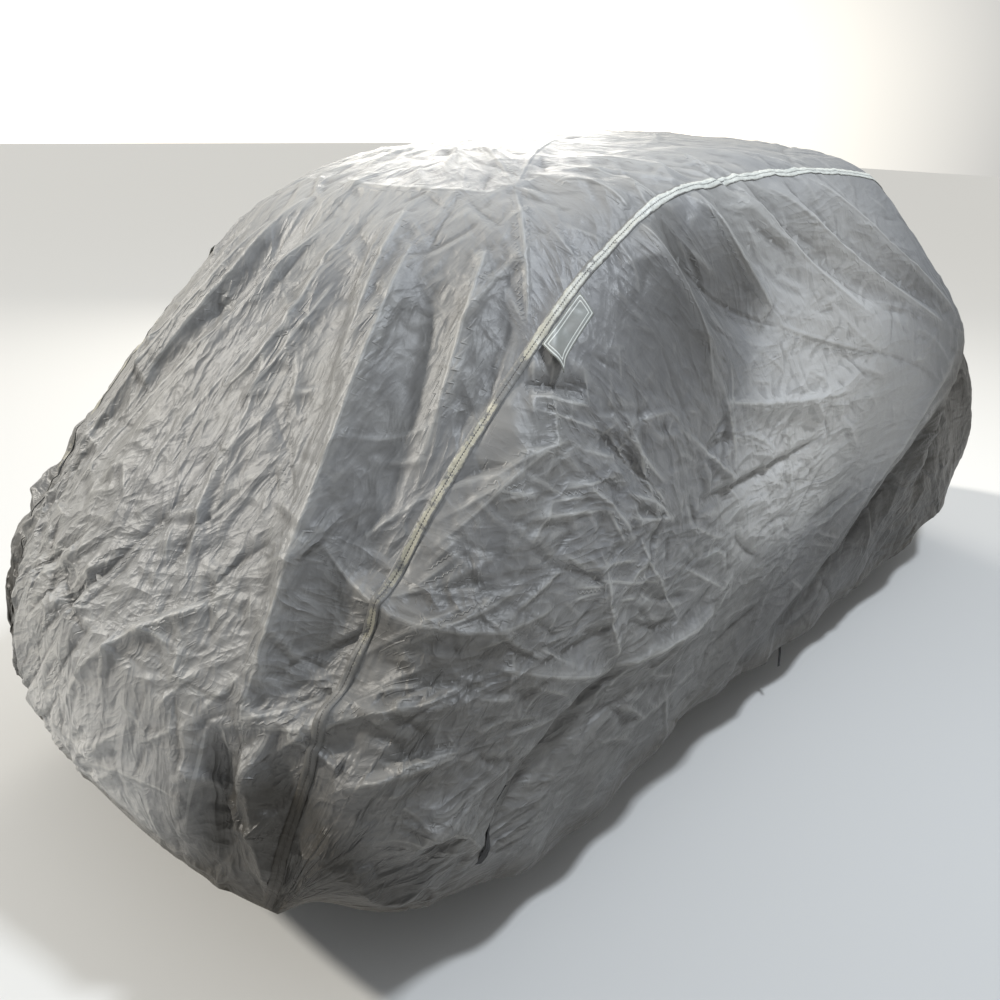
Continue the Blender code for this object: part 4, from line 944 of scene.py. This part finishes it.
def tape_finish():
    """Seam tape: a pale film, worn to patches and cream on the rear, with a dark stitch line and the cloth's
    painted shade.
    """
    f = Finish("seam_tape", 0.5)
    place, uv = f.place(), f.uv()
    across, whole, cream, tone = (f.value(name) for name in ("across", "whole", "cream", "tone"))
    patches = f.noise(f.moved(uv, (1.0, 0.15, 1.0)), PATCHES, 3.0, 0.6)
    scuffs = f.noise(place, SCUFFS, 5.0, 0.75)
    worn = (scuffs - 0.5) * 0.9 + across.step(0.45, 1.1) * 0.35
    show = (patches + whole - 0.5 - worn).step(0.42, 0.56)
    film = f.mix(cream, TAPE_WHITE, TAPE_CREAM)
    colour = f.mix(show * (0.65 + scuffs.step(0.35, 0.65) * 0.35), TAPE_CLEAR, film)
    line = across.step(*TAPE_STITCH)
    dashes = f.wave(uv, TAPE_DASHES, "X").step(0.15, 0.4)
    colour = f.mix(line * dashes * 0.85, colour, STITCH_DARK)
    # painted shade: the tape darkens where the cloth is painted darker
    f.set("Base Color", f.mix((1 - tone).clamped(), colour, PAINTED_SHADE_DARK))
    f.set("Roughness", show * -0.1 + 0.52)
    creases = f.ridged(f.moved(uv, (1.0, 0.4, 1.0)), TAPE_CREASES)
    f.bump(scuffs * SCUFF_HEIGHT + creases * TAPE_CREASE_HEIGHT - line * TAPE_STITCH_DEPTH)
    return f.made


def flap_finish():
    """The flaps' cloth: the cover's grey, with two rows of pale stitches round the sewn sides."""
    f = Finish("flap_cloth", 0.45)
    edge = f.value("edge")
    cloudy = f.noise(f.place(), FLAP_CLOUDS, 4.0, 0.6)
    rows = sum(edge.band(*(start + way for way in FLAP_STITCH)) for start in FLAP_ROWS)
    colour = f.mix(cloudy.step(0.35, 0.7) * 0.6, FLAP_GREY, CLOTH_DUST)
    f.set("Base Color", f.mix((rows * 0.75).clamped(), colour, TAPE_WHITE))
    f.set("Roughness", cloudy * 0.2 + 0.35)
    f.bump(cloudy * FLAP_CLOUD_HEIGHT - rows * FLAP_STITCH_DEPTH)
    return f.made


def webbing_finish():
    """Woven black webbing: crossing ribs, slightly faded."""
    f = Finish("webbing", 0.75)
    place = f.place()
    ribs, cords = f.wave(place, RIBS, "Z"), f.wave(place, CORDS, "X")
    faded = f.noise(place, FADED, 3.0).step(0.4, 0.8)
    f.set("Base Color", f.mix(faded * 0.5, WEBBING_BLACK, WEBBING_FADED))
    f.bump(ribs * RIB_HEIGHT + cords * CORD_HEIGHT)
    return f.made


# ---------------------------------------------------------------- pieces
CLOTH_THICK = 0.0012
SHARES = ("share_0", "share_1", "share_2")
RIDGE_SCALE = 0.0011     # a crest that stands out by this much gets the full painted highlight, and a trough as deep the full painted shade
ABOVE = 0.0010           # the tape, flaps and straps lie this far over the cloth
TAPE_THICK = 0.0006


def painted_light_shade_at(grid):
    """The painted light and shade at each point: above 1 painted paler, below 1 painted darker."""
    return by_region(np.stack([grid[..., 0], -np.abs(grid[..., 1]), grid[..., 2]], -1), PAINTED_LIGHT_SHADE, PAINTED_LIGHT_SHADE_ELSEWHERE)


def cloth_pieces(cloth, seam_left, seam_right, material):
    """The three panels of cloth, each from its own columns of the grid, with the size it was cut to."""
    grid = cloth.form
    along, across = measures(grid, cloth.middle)
    ends = np.minimum(along - along[:1], along[-1:] - along)
    side = np.minimum(across - across[:, :1], across[:, -1:] - across)
    values = {"ridge": np.clip(ridges(grid) / RIDGE_SCALE, -1, 1), "hem": np.minimum(ends, side),
              "crest": cloth.distance, "sharp": cloth.sharp, "tone": painted_light_shade_at(grid), "busy": cloth.busy}
    spans = {"left_cloth": (0, seam_left, "side_panel_left"),
             "top_cloth": (seam_left, seam_right, "top_panel"),
             "right_cloth": (seam_right, grid.shape[1] - 1, "side_panel_right")}
    made = {}
    for name, (first, last, node) in spans.items():
        part = (slice(None), slice(first, last + 1))
        uv = (along[part], across[part]) if name == "top_cloth" else side_measures(grid[part])
        own = {key: value[part] for key, value in values.items()}
        own.update(zip(SHARES, turn_shares(grid[part], cloth.ways[part], uv)))
        made[name] = grid_piece(name, grid[part], uv, own, material, CLOTH_THICK, BACK_STRIDE)
        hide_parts(node)
    return made


# How whole the tape's pale film is, and how yellow, by x.
TAPE_WHOLE = [(-0.54, 0.22), (-0.44, 0.28), (-0.40, 0.46), (-0.25, 0.56), (-0.10, 0.56), (-0.07, 0.20),
              (-0.04, 0.20), (-0.02, 0.62), (0.15, 0.60), (0.45, 0.72), (0.70, 0.80)]
TAPE_YELLOWED = [(-0.45, 0.5), (-0.35, 0.95), (-0.05, 0.9), (0.12, 0.4), (0.30, 0.1)]


def seam_tapes(grid, normals, seams, material):
    """Tape over each seam: the cloth's own columns there, lifted a little."""
    along, _ = measures(grid, 0)
    for side, seam in seams.items():
        part = (slice(2, -2), slice(seam - TAPE_CELLS, seam + TAPE_CELLS + 1))
        strip = grid[part] + normals[part] * (ABOVE + TAPE_THICK)
        across = np.broadcast_to(np.abs(np.linspace(-1, 1, 2 * TAPE_CELLS + 1)), strip.shape[:2])
        values = {"across": across, "whole": np.interp(strip[..., 0], *zip(*TAPE_WHOLE)),
                  "cream": np.interp(strip[..., 0], *zip(*TAPE_YELLOWED)), "tone": painted_light_shade_at(strip)}
        uv = (along[part], across * TAPE_HALF)
        piece = grid_piece("tape_" + side, strip, uv, values, material, TAPE_THICK)
        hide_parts("seam_tape_" + side)


def at_grid(grid, row, column):
    """Points of a grid at fractional rows and columns, straight between its own."""
    i = np.clip(np.floor(row).astype(int), 0, grid.shape[0] - 2)
    j = np.clip(np.floor(column).astype(int), 0, grid.shape[1] - 2)
    u, v = (row - i)[..., None], (column - j)[..., None]
    return ((1 - u) * ((1 - v) * grid[i, j] + v * grid[i, j + 1])
            + u * ((1 - v) * grid[i + 1, j] + v * grid[i + 1, j + 1]))


FLAP_LONG = 0.125
FLAP_WIDE = 0.050
FLAP_TAPER = 0.85        # width of its upper end, for 1 at its lower end
FLAP_LOOSE = 0.45        # part of its length that isn't sewn down
FLAP_RISE = 0.016        # lift of its loose corner
FLAP_SEAM_RISE = 0.4     # lift at the seam, for 1 at the outer side
FLAP_GAP = 0.002         # between the tape and the flap
FLAP_CELLS = (50, 20)
FLAP_SEARCH = 330        # the flap's middle is looked for on these first rows, where x grows steadily
FLAP_STEPS = 5           # columns beside the tape that the width of a column is measured over
FLAP_THICK = 0.0013
FLAP_SHIFT = 0.012       # up the seam from its solid's middle


def corner_flaps(grid, normals, seams, material):
    """Flap beside each seam: it follows the cloth, and its lower end lifts by a square law."""
    along, across = np.meshgrid(*[np.linspace(0, 1, n + 1) for n in FLAP_CELLS], indexing="ij")
    wide = FLAP_WIDE * (1 + (FLAP_TAPER - 1) * along)
    loose = np.clip(1 - along / FLAP_LOOSE, 0, 1) ** 2
    rise = FLAP_RISE * loose * (FLAP_SEAM_RISE + (1 - FLAP_SEAM_RISE) * across)
    to_side = np.minimum(across, 1 - across) * wide
    edge = np.minimum(np.minimum(along, 1 - along) * FLAP_LONG, to_side)
    for name, seam in seams.items():
        sign = 1 if name == "right" else -1
        first = seam + sign * TAPE_CELLS
        low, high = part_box("corner_flap_" + name)
        length = run_lengths(grid[:, first:first + 1], 0)[:, 0]
        middle = (low.x + high.x) / 2 + HANG[0]
        near = int(np.interp(middle, grid[:FLAP_SEARCH, first, 0], np.arange(FLAP_SEARCH)))
        place = length[near] + FLAP_SHIFT + (along - 0.5) * FLAP_LONG
        row = np.interp(place, length, np.arange(len(length)))
        cell = np.linalg.norm(grid[near, first + sign * FLAP_STEPS] - grid[near, first]) / FLAP_STEPS
        column = seam + sign * (TAPE_CELLS + (FLAP_GAP + across * wide) / cell)
        lift = (rise + ABOVE + FLAP_THICK)[..., None]
        surface = at_grid(grid, row, column) + at_grid(normals, row, column) * lift
        fields = (surface, along * FLAP_LONG, across * FLAP_WIDE, edge)
        surface, u, v, own_edge = (field[:, ::sign] for field in fields)
        piece = grid_piece("flap_" + name, surface, (u, v), {"edge": own_edge}, material, FLAP_THICK)
        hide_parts("corner_flap_" + name)


def build():
    """All pieces, and the straps' own material."""
    cloth, seam_left, seam_right = cover()
    panels = cloth_pieces(cloth, seam_left, seam_right, cloth_finish())
    seams = {"right": seam_right, "left": seam_left}
    seam_tapes(cloth.form, cloth.normals, seams, tape_finish())
    corner_flaps(cloth.form, cloth.normals, seams, flap_finish())
    webbing = webbing_finish()
    for node in ("hem_strap_right", "hem_strap_left", "strap_tail_right", "strap_tail_left"):
        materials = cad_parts[node].data.materials
        materials.clear()
        materials.append(webbing)


def place_camera():
    """The camera at the photograph's place, turn and lens."""
    yaw, down, roll = (math.radians(a) for a in (CAMERA_YAW, CAMERA_DOWN, CAMERA_ROLL))
    forward = Vector((math.cos(down) * math.cos(yaw), math.cos(down) * math.sin(yaw), -math.sin(down)))
    level = Vector((math.sin(yaw), -math.cos(yaw), 0))
    upright = level.cross(forward)
    right = math.cos(roll) * level + math.sin(roll) * upright
    up = math.cos(roll) * upright - math.sin(roll) * level
    data = bpy.data.cameras.new("camera")
    data.lens = CAMERA_LENS
    data.sensor_width = 36.0
    data.clip_start, data.clip_end = 0.05, 200.0
    camera = bpy.data.objects.new("camera", data)
    camera.matrix_world = Matrix.Translation(Vector(CAMERA_PLACE) - Vector(HANG)) @ Matrix(
        (right, up, -forward)).transposed().to_4x4()
    bpy.context.scene.collection.objects.link(camera)
    bpy.context.scene.camera = camera


def soft_light(name, place, aim, size, power, colour):
    """A square area light at a place, turned to what it lights."""
    data = bpy.data.lights.new(name, "AREA")
    data.energy = power
    data.size = size
    data.color = colour
    light = bpy.data.objects.new(name, data)
    light.location = Vector(place) - Vector(HANG)
    light.rotation_euler = (Vector(aim) - Vector(place)).to_track_quat("-Z", "Y").to_euler()
    bpy.context.scene.collection.objects.link(light)


SKY = (0.94, 0.97, 1.0)
SKY_STRENGTH = 0.50
HORIZON = (0.80, 0.82, 0.84)
HORIZON_STRENGTH = 0.12
HORIZON_TOP = 0.75       # sine of the height up to which it reaches
GLOW = (1.0, 0.94, 0.82)         # low in the sky, beyond the roof on the left
GLOW_STRENGTH = 1.6
GLOW_WAY = (0.45, 0.89)          # x and y of its direction
GLOW_EDGE = (0.45, 0.95)         # cosine from that direction: none below the first, full above the second
GLOW_TOP = (0.50, 0.02)          # sine of the height: none above the first, full below the second
SUN_WAY = (-0.42, 0.72, 0.55)    # from the cover to the sun
SUN_STRENGTH = 3.0
SUN_SIZE = 4.0           # degrees across
SUN_COLOUR = (1.0, 0.95, 0.86)
FLOOR_PALE = (0.66, 0.66, 0.65)
FLOOR_SIZE = 60
SOFT_LIGHTS = [
    # name, place, aim, size, watts, colour
    ("side", (1.0, -1.9, 4.8), (0.4, -0.1, 0.8), 0.5, 155.0, (0.87, 0.93, 1.0)),
    ("beyond_roof", (3.4, 3.2, 2.7), (0.4, 0.0, 1.34), 2.2, 110.0, SUN_COLOUR),
]


def sky():
    """The sky by its height: dim, dimmer at the horizon, and warm and bright low on one side."""
    world = bpy.data.worlds.new("sky")
    world.use_nodes = True
    bpy.context.scene.world = world
    n = Nodes(world.node_tree)
    way = n.node("ShaderNodeTexCoord", output="Generated")
    split = n.node("ShaderNodeSeparateXYZ", None, {"Vector": way}).link.node
    x, y, z = (Socket(n, output) for output in split.outputs)
    glow = (x * GLOW_WAY[0] + y * GLOW_WAY[1]).step(*GLOW_EDGE) * z.step(*GLOW_TOP)
    low = z.step(HORIZON_TOP, 0.0)
    background = n.tree.nodes["Background"]
    n.put(background.inputs["Color"], n.mix(glow, n.mix(low, SKY, HORIZON), GLOW))
    strength = low * (HORIZON_STRENGTH - SKY_STRENGTH) + SKY_STRENGTH
    n.put(background.inputs["Strength"], strength * (1 - glow) + glow * GLOW_STRENGTH)


def studio():
    """A pale floor, the sky, a low sun beyond the cover, a cool light above it and one beyond the roof."""
    bpy.ops.mesh.primitive_plane_add(size=FLOOR_SIZE, location=(0, 0, -HANG[2]))
    floor = bpy.context.object
    floor.name = "floor"
    paint = Finish("floor_paint", 0.9)
    paint.set("Base Color", FLOOR_PALE)
    floor.data.materials.append(paint.made)
    sky()
    sun = bpy.data.lights.new("sun", "SUN")
    sun.energy = SUN_STRENGTH
    sun.angle = math.radians(SUN_SIZE)
    sun.color = SUN_COLOUR
    lamp = bpy.data.objects.new("sun", sun)
    lamp.rotation_euler = Vector(SUN_WAY).to_track_quat("Z", "Y").to_euler()
    bpy.context.scene.collection.objects.link(lamp)
    for light in SOFT_LIGHTS:
        soft_light(*light)
    bpy.context.scene.view_settings.view_transform = "Standard"


build()
place_camera()
studio()
